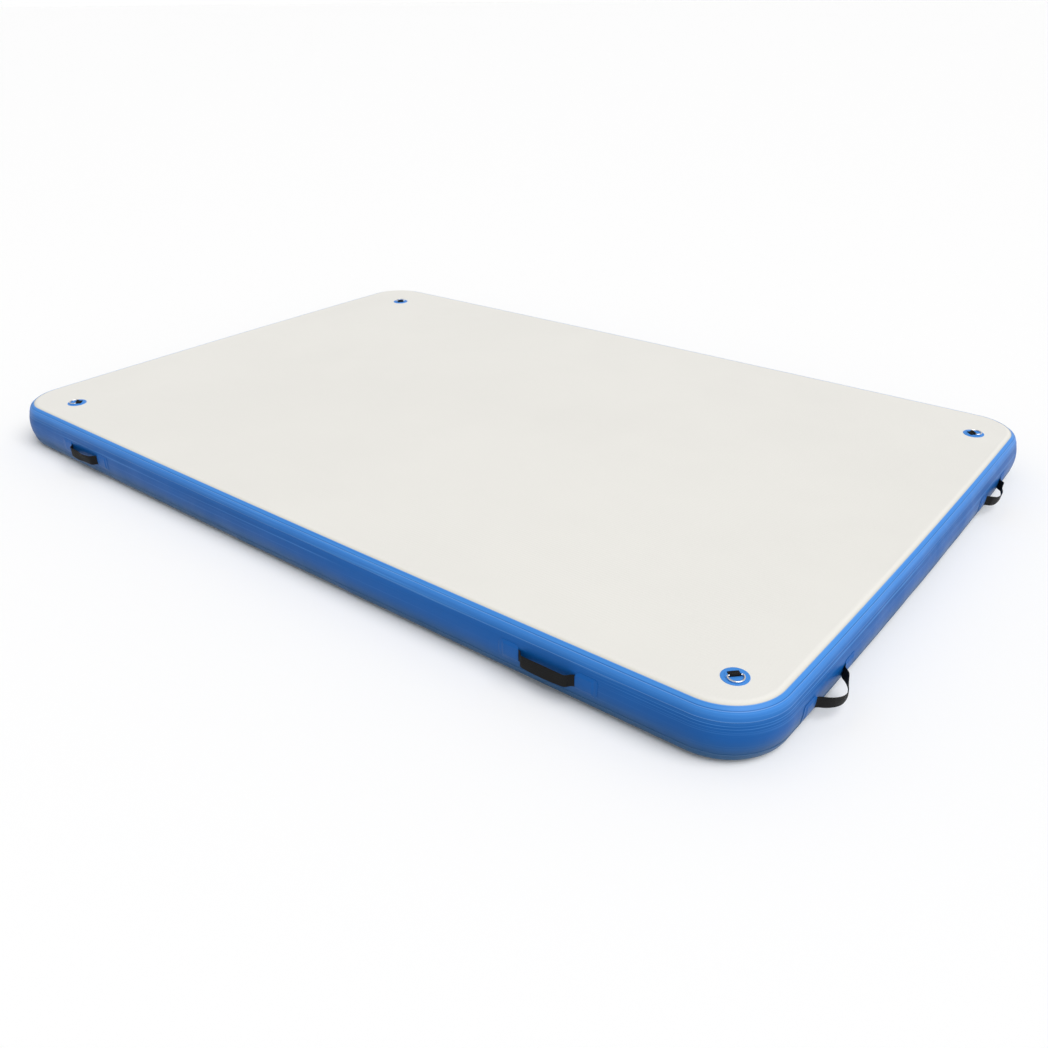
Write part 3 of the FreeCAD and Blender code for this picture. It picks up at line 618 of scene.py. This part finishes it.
def top_wave(x, y):
    """Slow unevenness of the inflated top, flat under the D-ring patches."""
    level = ripple(x, y, 9, 0.25, 0.9, 3)
    fade = np.ones_like(x)
    for px, py, _ in D_RINGS.values():
        fade *= smooth(45 * MM, 90 * MM, np.hypot(x - px, y - py))
    return -0.45 * MM * (0.5 + 0.5 * np.tanh(level)) * fade


def skin(name, node, upward):
    """A skin: its flat face, rolled over the edge down to where it ends under the wall."""
    grid, nx, ny, ring = skin_points()
    z = np.full(len(grid), THICKNESS if upward else 0.0)
    if upward:
        z += top_wave(grid[:, 0], grid[:, 1])
    out, height = section(ROLL_ANGLES, 0.0)
    rolled = round_outline(out[None, :].repeat(len(WIDEST), 0), height[None, :])
    # the face's border runs the same way round as the stations, from the same corner
    base, rows = len(grid), len(ROLL_ANGLES)
    edge = np.c_[ring, base + np.arange(len(ring))[:, None] * rows + np.arange(rows)]
    faces = [grid_faces(ny, nx, flip=True)]
    for a, b in zip(edge.T, edge.T[1:]):
        faces.append(np.stack([a, b, np.roll(b, -1), np.roll(a, -1)], -1))
    faces = np.concatenate(faces)
    points = np.concatenate([np.c_[grid, z], rolled.reshape(-1, 3)])
    if not upward:
        points[base:, 2] = THICKNESS - points[base:, 2]
        faces = faces[:, ::-1]
    piece = new_mesh(name, points, faces, "mat", "light_grey_skin", GREY_SKIN, (node,), sharp=0)
    solid = piece.modifiers.new("thickness", "SOLIDIFY")
    solid.thickness = FABRIC
    solid.offset = -1
    return piece


top_skin = skin("top_skin_fabric", "top_skin", True)
bottom_skin = skin("bottom_skin_fabric", "bottom_skin", False)


# ---- places on a wall: X out, Y along the wall, Z up, from the wall's surface ----

FACE_RADIUS = WALL_RADIUS + WALL_OUTER


def turned(out, along, heading, x, y, z):
    """World points from distances out and along, turned to a heading at a place."""
    h = math.radians(heading)
    c, s = math.cos(h), math.sin(h)
    return np.stack([x + out * c - along * s, y + out * s + along * c, z], -1)


def on_wall(points, wall, along, lean=0.0):
    """World points for local ones at a place on a wall; a lean rolls them down its arc."""
    p = np.asarray(points, float)
    a = math.radians(lean)
    out, z = p[..., 0] + FACE_RADIUS, p[..., 2]
    q_out = out * math.cos(a) + z * math.sin(a) - FACE_RADIUS
    q_z = -out * math.sin(a) + z * math.cos(a)
    x, y, radius, _ = WALLS[wall]
    return turned(radius + q_out, p[..., 1], wall_heading(wall, along), x, y, q_z + MID)


def draped(y, z, height):
    """Local points at a height above the round wall, from along and arc distances."""
    a, radius = z / FACE_RADIUS, FACE_RADIUS + height
    return np.stack([radius * np.cos(a) - FACE_RADIUS, y, radius * np.sin(a)], -1)


# ---- side wall and seam tapes ----

def near_handle():
    """1 beside a handle or the valve, falling to 0 further along the wall."""
    near = np.zeros(len(WIDEST))
    spots = [(w, a) for w, a, _, _, _ in HANDLES.values()] + [("left", VALVE_Y)]
    for wall, along in spots:
        x, y, radius, _ = WALLS[wall]
        spot = turned(radius, 0.0, wall_heading(wall, along), x, y, 0.0)
        distance = np.hypot(WIDEST[:, 0] - spot[0], WIDEST[:, 1] - spot[1])
        near = np.maximum(near, 1 - smooth(CALM_NEAR, CALM_FAR, distance))
    return near


NEAR = near_handle()


def wall_lift(angle):
    """Outward shift of the wall's layers (stations x rows): the skin's edge shows through,
    and air pressure leaves slow ripples that die out at the handles."""
    angle = np.asarray(angle, float)
    lap = smooth(SKIN_EDGE_ANGLE - 1.2, SKIN_EDGE_ANGLE + 1.6, np.abs(angle))
    lap = lap * (1 - smooth(40, 54, np.abs(angle))) * LAP_STEP
    run = section_run(angle)
    a = ALONG[:, None] / PERIMETER * 2 * math.pi
    slow = (np.sin(a * 23 + run[None] * 18) + np.sin(a * 37 - run[None] * 26 + 1.3)
            + np.sin(a * 61 + run[None] * 11 + 2.9))
    fine = np.sin(a * 163 + run[None] * 9) + np.sin(a * 211 - run[None] * 31 + 0.7)
    calm = 1 - NEAR[:, None]
    edge = 1 - smooth(44, 58, np.abs(angle))[None]
    return lap[None] + calm * edge * (SLOW_RIPPLE * slow + FINE_RIPPLE * fine)


def valve_port(profile, points, weave, faces):
    """Opens the round hole the valve goes through. In a window round the valve, rings of
    faces close in on the hole on both sides of the fabric, and a rim joins the two."""
    wall_x, wall_y, radius, _ = WALLS["left"]
    heading = math.radians(wall_heading("left", VALVE_Y))
    side = np.array([-math.sin(heading), math.cos(heading)])
    from_valve = WIDEST - on_wall(np.zeros(3), "left", VALVE_Y)[:2]
    beside = from_valve @ side
    near = np.flatnonzero(np.linalg.norm(from_valve, axis=1) < PORT_WINDOW)
    i0, i1 = near[0] - 1, near[-1] + 1
    columns = len(profile)
    angles, offsets = np.array(profile).T
    new_points, new_weave, new_faces, holes = [], [], [], []
    keep = np.ones(len(faces), bool)
    count = len(WIDEST) * columns
    for layer in (WALL_OUTER, GLUE):
        rows = np.flatnonzero((offsets == layer) & (np.abs(angles) < PORT_WINDOW_ANGLE))
        outside = layer == WALL_OUTER
        rows = rows if outside else rows[::-1]
        keep[(np.arange(i0, i1)[:, None] * columns + np.sort(rows)[None, :-1]).ravel()] = False
        loop = ([(i, rows[0]) for i in range(i0, i1)] + [(i1, j) for j in rows[:-1]]
                + [(i, rows[-1]) for i in range(i1, i0, -1)] + [(i0, j) for j in rows[:0:-1]])
        loop = np.array(loop)
        from_side, up = beside[loop[:, 0]], points[loop[:, 0], loop[:, 1], 2] - MID
        turn = np.arctan2(up, from_side)
        last = loop[:, 0] * columns + loop[:, 1]
        for share in np.linspace(0, 1, PORT_RINGS + 1)[1:]:
            ry = (1 - share) * from_side + share * VALVE_HOLE * np.cos(turn)
            rz = (1 - share) * up + share * VALVE_HOLE * np.sin(turn)
            angle = np.degrees(np.arcsin(rz / (WALL_RADIUS + layer)))
            reach = radius + section(angle, layer)[0] - WALL_OUT
            toward = heading + np.arcsin(ry / reach)
            x, y = wall_x + reach * np.cos(toward), wall_y + reach * np.sin(toward)
            new_points.append(np.c_[x, y, MID + rz])
            new_weave.append(np.c_[x, section_run(angle), y])
            ring = count + np.arange(len(ry))
            count += len(ry)
            quads = np.stack([last, np.roll(last, -1), np.roll(ring, -1), ring], -1)
            new_faces.append(quads if outside else quads[:, ::-1])
            last = ring
        holes.append(last)
    outer, inner = holes
    new_faces.append(np.stack([outer, np.roll(outer, -1), np.roll(inner, -1), inner], -1))
    points = np.concatenate([points.reshape(-1, 3)] + new_points)
    weave = np.concatenate([weave.reshape(-1, 3)] + new_weave)
    used, faces = np.unique(np.concatenate([faces[keep]] + new_faces), return_inverse=True)
    return points[used], weave[used], faces.reshape(-1, 4)


def band(name, profile, slot, finish, replaced, port=False):
    """A closed belt round the whole mat from a loop of (angle, offset) points."""
    angles, offsets = np.array(profile).T
    out, z = section(angles[None], offsets[None] + wall_lift(angles))
    points = round_outline(out, z)
    run = np.broadcast_to(section_run(angles)[None], out.shape)
    weave = np.stack([points[..., 0], run, points[..., 1]], -1)
    faces = grid_faces(len(WIDEST), len(angles), wrap_rows=True, wrap_columns=True)
    if port:
        points, weave, faces = valve_port(profile, points, weave, faces)
    return new_mesh(name, points.reshape(-1, 3), faces, "mat", slot, finish, replaced,
                    weave=weave.reshape(-1, 3))


def layer_profile(high, low, inner, outer, step, soft=0.5):
    """Loop of a layer's section: outer face, rounded edge, inner face, rounded edge."""
    rim_high, rim_low = (
        soft * math.degrees(1 * MM / (WALL_RADIUS if abs(end) < MEET_ANGLE else SHOULDER))
        for end in (high, low))
    mid, inset = (inner + outer) / 2, (outer - inner) * 0.14
    body = list(np.arange(high - rim_high, low + rim_low, -step)) + [low + rim_low]
    foot, head = low + rim_low * 0.3, high - rim_high * 0.3
    return ([(a, outer) for a in body]
            + [(foot, outer - inset), (low, mid), (foot, inner + inset)]
            + [(a, inner) for a in body[::-1]]
            + [(head, inner + inset), (high, mid), (head, outer - inset)])


side_wall = band("side_wall_fabric",
                 layer_profile(SEAM_ANGLE, -SEAM_ANGLE, GLUE, WALL_OUTER, WALL_STEP, 0.6),
                 "blue_side_wall", BLUE_WALL, ("sidewall_long_strip", "sidewall_short_strip"),
                 port=True)
TAPE_INNER, TAPE_OUTER = WALL_OUTER + GLUE, WALL_OUTER + GLUE + TAPE
band("top_seam_tape_fabric", layer_profile(TAPE_TOP, TAPE_FOOT, TAPE_INNER, TAPE_OUTER, TAPE_STEP),
     "blue_side_wall", BLUE_TAPE, ("top_seam_tape",))
band("bottom_seam_tape_fabric",
     layer_profile(-TAPE_FOOT, -TAPE_TOP, TAPE_INNER, TAPE_OUTER, TAPE_STEP),
     "blue_side_wall", BLUE_TAPE, ("bottom_seam_tape",))


# ---- glued patches ----

def rounded_grid(half_y, half_z, corner, ny, nz):
    """Grid over a rounded rectangle: along and up coordinates, borders on its outline."""
    def lines(half, n):
        k = 5
        edge = np.linspace(0, corner, k + 1)
        inner = np.linspace(-half + corner, half - corner, n)
        return np.concatenate([-half + edge[:-1], inner, half - corner + edge[1:]])

    y, z = np.meshgrid(lines(half_y, ny), lines(half_z, nz), indexing="ij")
    py = np.clip((np.abs(y) - (half_y - corner)) / corner, 0, 1)
    pz = np.clip((np.abs(z) - (half_z - corner)) / corner, 0, 1)
    ry = py * np.sqrt(1 - pz ** 2 / 2)
    rz = pz * np.sqrt(1 - py ** 2 / 2)
    y = np.where(py > 0, np.sign(y) * (half_y - corner + corner * ry), y)
    z = np.where(pz > 0, np.sign(z) * (half_z - corner + corner * rz), z)
    return y, z


def slab_from_grid(lower, upper, rim):
    """Closed sheet from two grids of points (n x m x 3) and a rounded rim between them."""
    n, m = lower.shape[:2]
    ring = grid_border(n, m)
    points = [upper.reshape(-1, 3), lower.reshape(-1, 3), rim.reshape(-1, 3)[ring]]
    faces = [grid_faces(n, m), grid_faces(n, m, start=n * m, flip=True)]
    loops = [ring, 2 * n * m + np.arange(len(ring)), ring + n * m]
    for a, b in zip(loops, loops[1:]):
        faces.append(np.stack([a, b, np.roll(b, -1), np.roll(a, -1)], -1)[:, ::-1])
    return np.concatenate(points), np.concatenate(faces)


def bulging_patch(name, wall, along, lean, centre, half_y, half_z, corner, rise, replaced=(),
                  seed=1, ny=26, nz=18, slot="blue_patch", finish=BLUE_PATCH):
    """A glued patch; rise(y, z) is how far its underside stands off the wall."""
    y, z = rounded_grid(half_y, half_z, corner, ny, nz)
    edge = np.minimum(half_y - np.abs(y), half_z - np.abs(z))
    under = GLUE + rise(y + centre, z)
    under = under + 0.06 * MM * smooth(2 * MM, 8 * MM, edge) * ripple(y, z, 6, 0.012, 0.04, seed)
    under = np.maximum(under, GLUE)
    drop = (1 - smooth(0, 0.9 * MM, edge)) * 0.25 * TAPE
    grow = 1 + 0.25 * MM / half_y
    layers = (draped(y + centre, z, under), draped(y + centre, z, under + TAPE - drop),
              draped(y * grow + centre, z * grow, under + TAPE * 0.45))
    points, faces = slab_from_grid(*(on_wall(layer, wall, along, lean) for layer in layers))
    flat = np.stack([y + along, z, np.zeros_like(y)], -1).reshape(-1, 3)
    weave = np.concatenate([flat, flat, flat[grid_border(*y.shape)]])
    return new_mesh(name, points, faces, "mat", slot, finish, replaced, sharp=50, weave=weave)


for wall, along in (("back", BACK_JOINT_X), ("left", LEFT_JOINT_Y)):
    bulging_patch("wall_joint_patch_" + wall, wall, along, 0.0, 0.0, JOINT_PATCH_WIDTH / 2,
                  math.radians(JOINT_PATCH_ANGLE) * FACE_RADIUS, 8 * MM, lambda y, z: 0.0 * y,
                  seed=21, ny=40, nz=30, slot="blue_side_wall", finish=BLUE_TAPE,
                  replaced=("sidewall_joint_patches",))


# ---- webbing handles ----

def strap_line(bow, droop):
    """Centreline from one patch to the other in the wall's frame, half span at the wall."""
    radius = (HINGE_HALF ** 2 + bow ** 2) / (2 * bow)
    reach = math.asin(min(1.0, HINGE_HALF / radius))
    end_slope = min(reach, TAIL_ANGLE)
    level = GLUE + WEB_THICK / 2
    bends = TAIL_BEND * (1 + math.cos(end_slope) - 2 * math.cos(TAIL_ANGLE))
    straight = (HINGE_OUT - level - bends) / math.sin(TAIL_ANGLE)
    run = (TAIL_BEND * (2 * math.sin(TAIL_ANGLE) - math.sin(end_slope))
           + straight * math.cos(TAIL_ANGLE))
    foot = HINGE_HALF + run
    flat = np.linspace(-foot - TAIL_UNDER, -foot, 30)[:-1]
    tail = [np.c_[np.full(len(flat), level), flat]]
    s1 = np.linspace(0, TAIL_ANGLE, 12)
    tail.append(np.c_[level + TAIL_BEND * (1 - np.cos(s1)), -foot + TAIL_BEND * np.sin(s1)])
    o, y = tail[-1][-1]
    s = np.linspace(0, straight, 12)[1:]
    tail.append(np.c_[o + s * math.sin(TAIL_ANGLE), y + s * math.cos(TAIL_ANGLE)])
    o, y = tail[-1][-1]
    s2 = np.linspace(TAIL_ANGLE, end_slope, 12)[1:]
    tail.append(np.c_[o + TAIL_BEND * (np.cos(s2) - math.cos(TAIL_ANGLE)),
                      y + TAIL_BEND * (math.sin(TAIL_ANGLE) - np.sin(s2))])
    tail = np.concatenate(tail)
    a = np.linspace(-reach, 0, 60)[1:]
    free = np.c_[HINGE_OUT + bow - radius + radius * np.cos(a), radius * np.sin(a)]
    d = math.radians(droop)
    left = np.concatenate([
        np.c_[tail, np.zeros(len(tail))],
        np.c_[HINGE_OUT + (free[:, 0] - HINGE_OUT) * math.cos(d), free[:, 1],
              -(free[:, 0] - HINGE_OUT) * math.sin(d)],
    ])
    right = left[:-1][::-1] * np.array([1, -1, 1])
    return np.concatenate([left, right]), foot


def resample(line, step):
    """The line at even steps, and the distance along it of each point."""
    s = np.concatenate([[0], np.cumsum(np.linalg.norm(np.diff(line, axis=0), axis=1))])
    t = np.linspace(0, s[-1], int(round(s[-1] / step)) + 1)
    return np.stack([np.interp(t, s, line[:, k]) for k in range(3)], -1), t


def soften(line, sigma):
    """Gaussian smoothing along a line with even spacing, ends held."""
    k = int(3 * sigma)
    w = np.exp(-0.5 * (np.arange(-k, k + 1) / sigma) ** 2)
    w /= w.sum()
    before = 2 * line[:1] - line[1:k + 1][::-1]
    after = 2 * line[-1:] - line[-k - 1:-1][::-1]
    padded = np.concatenate([before, line, after])
    return np.stack([np.convolve(padded[:, c], w, "valid") for c in range(3)], -1)


# name: slack of the free strap, as bells of (place, spread, out, up, twist)
# in millimetres and degrees
SLACK = {
    "front_left": [(-15, 20, -1, 0, -10), (20, 20, 0, 0, 10)],
    "front_right": [(0, 40, -1, 0, -8)],
    "right_front": [(-35, 20, 4, 3, 0), (30, 20, -4, 0, -20)],
    "right_back": [(-35, 20, 0, -4, 0), (30, 20, -5, 0, -20)],
    "back_right": [(-15, 20, 1, -3, 8), (28, 15, -1, -1, -8)],
    "back_left": [(10, 22, -1, -5, -10), (-35, 14, 1, 1, 5)],
    "left_back": [(-22, 18, 1, -3, 10), (26, 16, -1, -2, -9)],
    "left_front": [(8, 20, 1, -4, 10), (-32, 14, 0, -1, -7)],
}


def strap_shape(name, bow, droop):
    """Path, across and through directions of a whole strap in its wall's frame."""
    line, foot = strap_line(bow, droop)
    line, _ = resample(line, STRAP_STEP)
    line = soften(line, 3.2)
    y = line[:, 1]
    free = 1 - smooth(HINGE_HALF - 12 * MM, foot - 1 * MM, np.abs(y))
    twist = droop * free
    for place, spread, out, up, turn in SLACK[name]:
        bell = np.exp(-0.5 * ((y / MM - place) / spread) ** 2) * free
        line[:, 0] += out * MM * bell
        line[:, 2] += up * MM * bell
        twist = twist + turn * bell
    tangent = unit(np.gradient(line, axis=0))
    t = np.radians(twist)
    across = np.stack([np.sin(t), np.zeros_like(t), np.cos(t)], -1)
    across = unit(across - tangent * np.sum(across * tangent, axis=1)[:, None])
    return line, across, np.cross(tangent, across), foot


STRAP_SECTION = rounded_slab(WEB_WIDTH, WEB_THICK, STRAP_ACROSS, crown=0.25)


def sweep(line, across, through, flat_section):
    """Rings of points along a path (path x section x 3)."""
    return (line[:, None] + flat_section[None, :, :1] * across[:, None]
            + flat_section[None, :, 1:] * through[:, None])


def strap_weave(run, flat_section):
    """Cloth coordinates along, across and through a strap."""
    return np.stack(np.broadcast_arrays(run[:, None], flat_section[None, :, 0],
                                        flat_section[None, :, 1]), -1)


def patch_seed(name):
    return 40 + sum(ord(c) for c in name) % 50


def handle(name, wall, along, bow, droop, lean):
    """A strap in two halves, from under one patch to under the other, and its patches."""
    line, across, through, foot = strap_shape(name, bow, droop)
    half = len(line) // 2
    for side, part in ((-1, slice(0, half + 1)), (1, slice(half, len(line)))):
        end = "a" if side < 0 else "b"
        rings = sweep(line[part], across[part], through[part], STRAP_SECTION)
        weave = strap_weave(np.arange(len(line))[part] * STRAP_STEP, STRAP_SECTION)
        rings = on_wall(rings, wall, along, lean)
        piece = tube_piece(f"strap_{name}_{end}", rings, weave, body=None, slot="black_webbing",
                           finish=WEBBING, sharp=40)
        nodes = ["handle_sewn_ends_" + name] + (["handle_strap_" + name] if side < 0 else [])
        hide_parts(*nodes)
        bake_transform(piece)

        def rise(y, z):
            over = 1 - smooth(TAIL_UNDER, TAIL_UNDER + PATCH_RAMP, np.abs(y) - foot)
            beside = 1 - smooth(WEB_WIDTH / 2 + 0.2 * MM, WEB_WIDTH / 2 + 4.5 * MM, np.abs(z))
            return (WEB_THICK + GLUE) * over * beside

        centre = side * (foot + 0.5 * MM + END_PATCH_LENGTH / 2)
        bulging_patch(f"end_patch_{name}_{end}", wall, along, lean, centre, END_PATCH_LENGTH / 2,
                      END_PATCH_HEIGHT / 2, END_PATCH_CORNER, rise,
                      ("handle_end_patches_" + name,),
                      seed=patch_seed(name) + side)


for name, (wall, along, bow, droop, lean) in HANDLES.items():
    handle(name, wall, along, bow, droop, lean)


# ---- D-rings ----

RING_BASE_TOP = GLUE + TAPE
RING_AXIS = RING_BASE_TOP + GLUE + RING_WEB_THICK + GLUE + RING_WIRE


def on_top(points, x, y, heading):
    """World points for local ones on the top, X along the heading."""
    return turned(points[..., 0], points[..., 1], heading, x, y, THICKNESS + points[..., 2])


def disc(name, radius, floor, hole, place, node, seed):
    """A round patch with a soft edge; hole(turn) gives the radius of its window, or 0."""
    turns = np.linspace(0, 2 * math.pi, 97)[:-1]
    inner = np.array([hole(t) for t in turns])
    steps = np.array([0, 0.012, 0.06, 0.2, 0.4, 0.6, 0.8, 0.93, 0.975, 0.992, 1.0])
    has_hole = inner.max() > 0
    if not has_hole:
        inner[:] = 0.6 * MM
    r = inner[:, None] + (radius - inner[:, None]) * steps[None]
    soft = smooth(0, 0.8 * MM, radius - r)
    if has_hole:
        soft = soft * smooth(0, 0.6 * MM, r - inner[:, None])
    x, y = r * np.cos(turns)[:, None], r * np.sin(turns)[:, None]
    wavy = 0.05 * MM * ripple(x, y, 5, 0.012, 0.04, seed)
    top = floor + TAPE * (0.62 + 0.38 * soft) + wavy * soft
    upper = np.stack([x, y, top], -1)
    lower = np.stack([x, y, np.full_like(x, floor)], -1)[:, ::-1]
    loop = np.concatenate([upper, lower], 1)
    n, m = loop.shape[:2]
    points = loop.reshape(-1, 3)
    faces = list(grid_faces(n, m, wrap_rows=True, wrap_columns=has_hole))
    if not has_hole:
        faces.append(np.arange(n) * m)
        faces.append((np.arange(n) * m + m - 1)[::-1])
    return new_mesh(name, on_top(points, *place), [f[::-1] for f in faces], "mat", "blue_patch",
                    BLUE_PATCH, (node,), sharp=60, weave=points)


def window(turn):
    """Radius of the cover's rounded window in a direction from the patch's centre."""
    best = 0.0
    for r in np.linspace(4 * MM, RING_COVER_RADIUS, 400):
        x, y = r * math.cos(turn), abs(r * math.sin(turn))
        past_x = max(x - (WINDOW_HIGH - WINDOW_CORNER), (WINDOW_LOW + WINDOW_CORNER) - x, 0)
        past_y = max(y - (WINDOW_HALF - WINDOW_CORNER), 0)
        if math.hypot(past_x, past_y) <= WINDOW_CORNER:
            best = r
    return min(best, WINDOW_REACH)


def ring_webbing(name, place):
    """One strip folded round the bar, its two layers glued and sewn down."""
    t = RING_WEB_THICK
    loop_radius = RING_WIRE + GLUE + t / 2
    low, high = RING_AXIS - loop_radius, RING_BASE_TOP + GLUE + 1.52 * t
    bottom = np.c_[np.linspace(-RING_WEB_LENGTH, 0, 24), np.full(24, low)]
    turns = np.linspace(-math.pi / 2, math.radians(128), 36)[1:]
    round_bar = np.c_[loop_radius * np.cos(turns), RING_AXIS + loop_radius * np.sin(turns)]
    back = np.array([[-RING_WIRE - 3.6 * MM, high + 0.5 * MM], [-RING_WIRE - 5.2 * MM, high],
                     [-RING_WEB_LENGTH, high]])
    path = np.concatenate([bottom, round_bar, back])
    line, s = resample(np.c_[path[:, 0], np.zeros(len(path)), path[:, 1]], RING_WEB_STEP)
    line = soften(line, 1.6)
    tangent = unit(np.gradient(line, axis=0))
    across = np.broadcast_to(np.array([0, 1.0, 0]), line.shape)
    through = np.cross(tangent, across)
    flat_section = rounded_slab(RING_WEB_WIDTH, t, STRAP_ACROSS, crown=0.2)
    rings = sweep(line, across, through, flat_section)
    tube_piece("ring_loop_" + name, on_top(rings, *place), strap_weave(s, flat_section),
               body="mat", slot="black_webbing", finish=FINE_WEBBING, sharp=40,
               replaced=("d_ring_webbing_" + name,))
    thread_rows("ring_stitching_" + name, high + t / 2, place)


def thread_rows(name, top, place):
    """Two sewn rows across the strip and one down each side."""
    points, faces, bars = [], [], []
    turn = np.linspace(0, 2 * math.pi, 7)[:-1]
    for x in (-RING_WEB_LENGTH + 2.2 * MM, -8.2 * MM):
        bars += [((x, y), (0, 1)) for y in STITCHES_ACROSS]
    for y in (-11.2 * MM, 11.2 * MM):
        bars += [((x, y), (1, 0)) for x in STITCHES_ALONG]
    for (x, y), (dx, dy) in bars:
        d = np.array([dx, dy, 0.0])
        side = np.array([-dy, dx, 0.0])
        ring = np.cos(turn)[:, None] * side + np.sin(turn)[:, None] * np.array([0, 0, 0.6])
        start = len(points) * 6
        for shift, scale in ((-0.5, 0.3), (-0.32, 1.0), (0.32, 1.0), (0.5, 0.3)):
            points.append(np.array([x, y, top]) + d * STITCH_LENGTH * shift
                          + ring * STITCH_RADIUS * scale)
        faces += tube_faces(4, 6, start)
    new_mesh(name, on_top(np.concatenate(points), *place), faces, "mat", "black_webbing", THREAD,
             sharp=0)


for name, place in D_RINGS.items():
    disc("ring_base_" + name, RING_BASE_RADIUS, GLUE, lambda turn: 0.0, place,
         "d_ring_base_" + name, 5)
    disc("ring_cover_" + name, RING_COVER_RADIUS, RING_BASE_TOP + GLUE, window, place,
         "d_ring_cover_" + name, 6)
    ring_webbing(name, place)


# ---- the valve's return spring ----

def return_spring():
    """A coil between the cup's floor and the button."""
    turn = np.linspace(0, 2 * math.pi * SPRING_TURNS, 28 * SPRING_TURNS + 1)
    climb = np.linspace(SPRING_LOW, SPRING_HIGH, len(turn))
    line = np.c_[climb, SPRING_RADIUS * np.cos(turn), SPRING_RADIUS * np.sin(turn)]
    tangent = unit(np.gradient(line, axis=0))
    outward = np.c_[np.zeros(len(turn)), np.cos(turn), np.sin(turn)]
    side = np.cross(tangent, outward)
    around = np.linspace(0, 2 * math.pi, 11)[:-1]
    rings = (line[:, None] + SPRING_WIRE * (np.cos(around)[None, :, None] * outward[:, None]
                                            + np.sin(around)[None, :, None] * side[:, None]))
    piece = tube_piece("valve_return_spring", on_wall(rings, "left", VALVE_Y), rings, body="mat",
                       slot="steel_wire", finish=SPRING_STEEL, replaced=("valve_spring",))
    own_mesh(piece)


return_spring()


# ---- carried-over CAD nodes ----

def finish_node(node, finish, bevel):
    """Gives a CAD node its material, smooth shading and softly rounded edges."""
    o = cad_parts[node]
    o.data.materials.clear()
    o.data.materials.append(finish)
    o.data.polygons.foreach_set("use_smooth", [True] * len(o.data.polygons))
    o.data.set_sharp_from_angle(angle=math.radians(35))
    if bevel:
        weld = o.modifiers.new("weld", "WELD")
        weld.merge_threshold = 0.004 * MM
        soft = o.modifiers.new("soft_edges", "BEVEL")
        soft.width = bevel
        soft.segments = 2
        soft.limit_method = "ANGLE"
        soft.angle_limit = math.radians(40)


for node, finish, bevel in (
        *(("d_ring_" + name, STEEL, 0.0) for name in D_RINGS),
        ("valve_body", VALVE_PLASTIC, 0.3 * MM), ("valve_cap", VALVE_PLASTIC, 0.5 * MM),
        ("valve_cap_tether", RUBBER, 0.25 * MM), ("valve_saddle_gasket", RUBBER, 0.3 * MM),
        ("valve_backing_nut", VALVE_PLASTIC, 0.4 * MM), ("valve_plunger", VALVE_BUTTON, 0.3 * MM),
        ("valve_seal_disc", RUBBER, 0.0),
        ("drop_stitch_threads", THREAD, 0.0), ("top_inner_tape", BLUE_TAPE, 0.0),
        ("bottom_inner_tape", BLUE_TAPE, 0.0)):
    finish_node(node, finish, bevel)


# ---- floor, light and camera ----

SKY_FADE = (0.02, 0.34, 1.0, 0.42)               # bright at the horizon, dimmer overhead
SUN_ENERGY, SUN_ANGLE = 2.22, math.radians(50)
SUN_DIRECTION = Vector((-0.55, 0.08, -0.831))
SENSOR_WIDTH, LENS = 36.0, 33.70                 # millimetres
CAMERA_AT = Vector((2.0632, -2.4355, 1.4256))
LOOK = Vector((-0.5511, 0.6858, -0.4754)).normalized()
ROLL = math.radians(-0.616)

bpy.ops.mesh.primitive_plane_add(size=4000, location=(0, 0, -0.4 * MM))
floor = bpy.context.object
floor.name = "studio_floor"
floor.data.materials.append(
    material("pale_floor", (0.975, 0.975, 0.975), 0.8, Specular_IOR_Level=0.1))

world = bpy.data.worlds.new("studio")
bpy.context.scene.world = world
world.use_nodes = True
sky = Nodes(world)
background = world.node_tree.nodes["Background"]
background.inputs[0].default_value = (1.0, 1.0, 1.0, 1)
up = sky.part(sky.node("TexCoord").outputs["Generated"], 2)
sky.put(background.inputs[1], sky.span(up, *SKY_FADE))

key = bpy.data.lights.new("soft_key", "SUN")
key.energy = SUN_ENERGY
key.angle = SUN_ANGLE
key_light = add_object("soft_key", key)
key_light.rotation_euler = SUN_DIRECTION.to_track_quat("-Z", "Y").to_euler()

camera_data = bpy.data.cameras.new("camera")
camera = add_object("camera", camera_data)
camera_data.sensor_width = SENSOR_WIDTH
camera_data.lens = LENS
camera_data.clip_start, camera_data.clip_end = 0.05, 200
camera.location = CAMERA_AT
aim = LOOK.to_track_quat("-Z", "Y").to_matrix() @ Matrix.Rotation(ROLL, 3, "Z")
camera.rotation_euler = aim.to_euler()
bpy.context.scene.camera = camera
bpy.context.scene.view_settings.view_transform = "Standard"
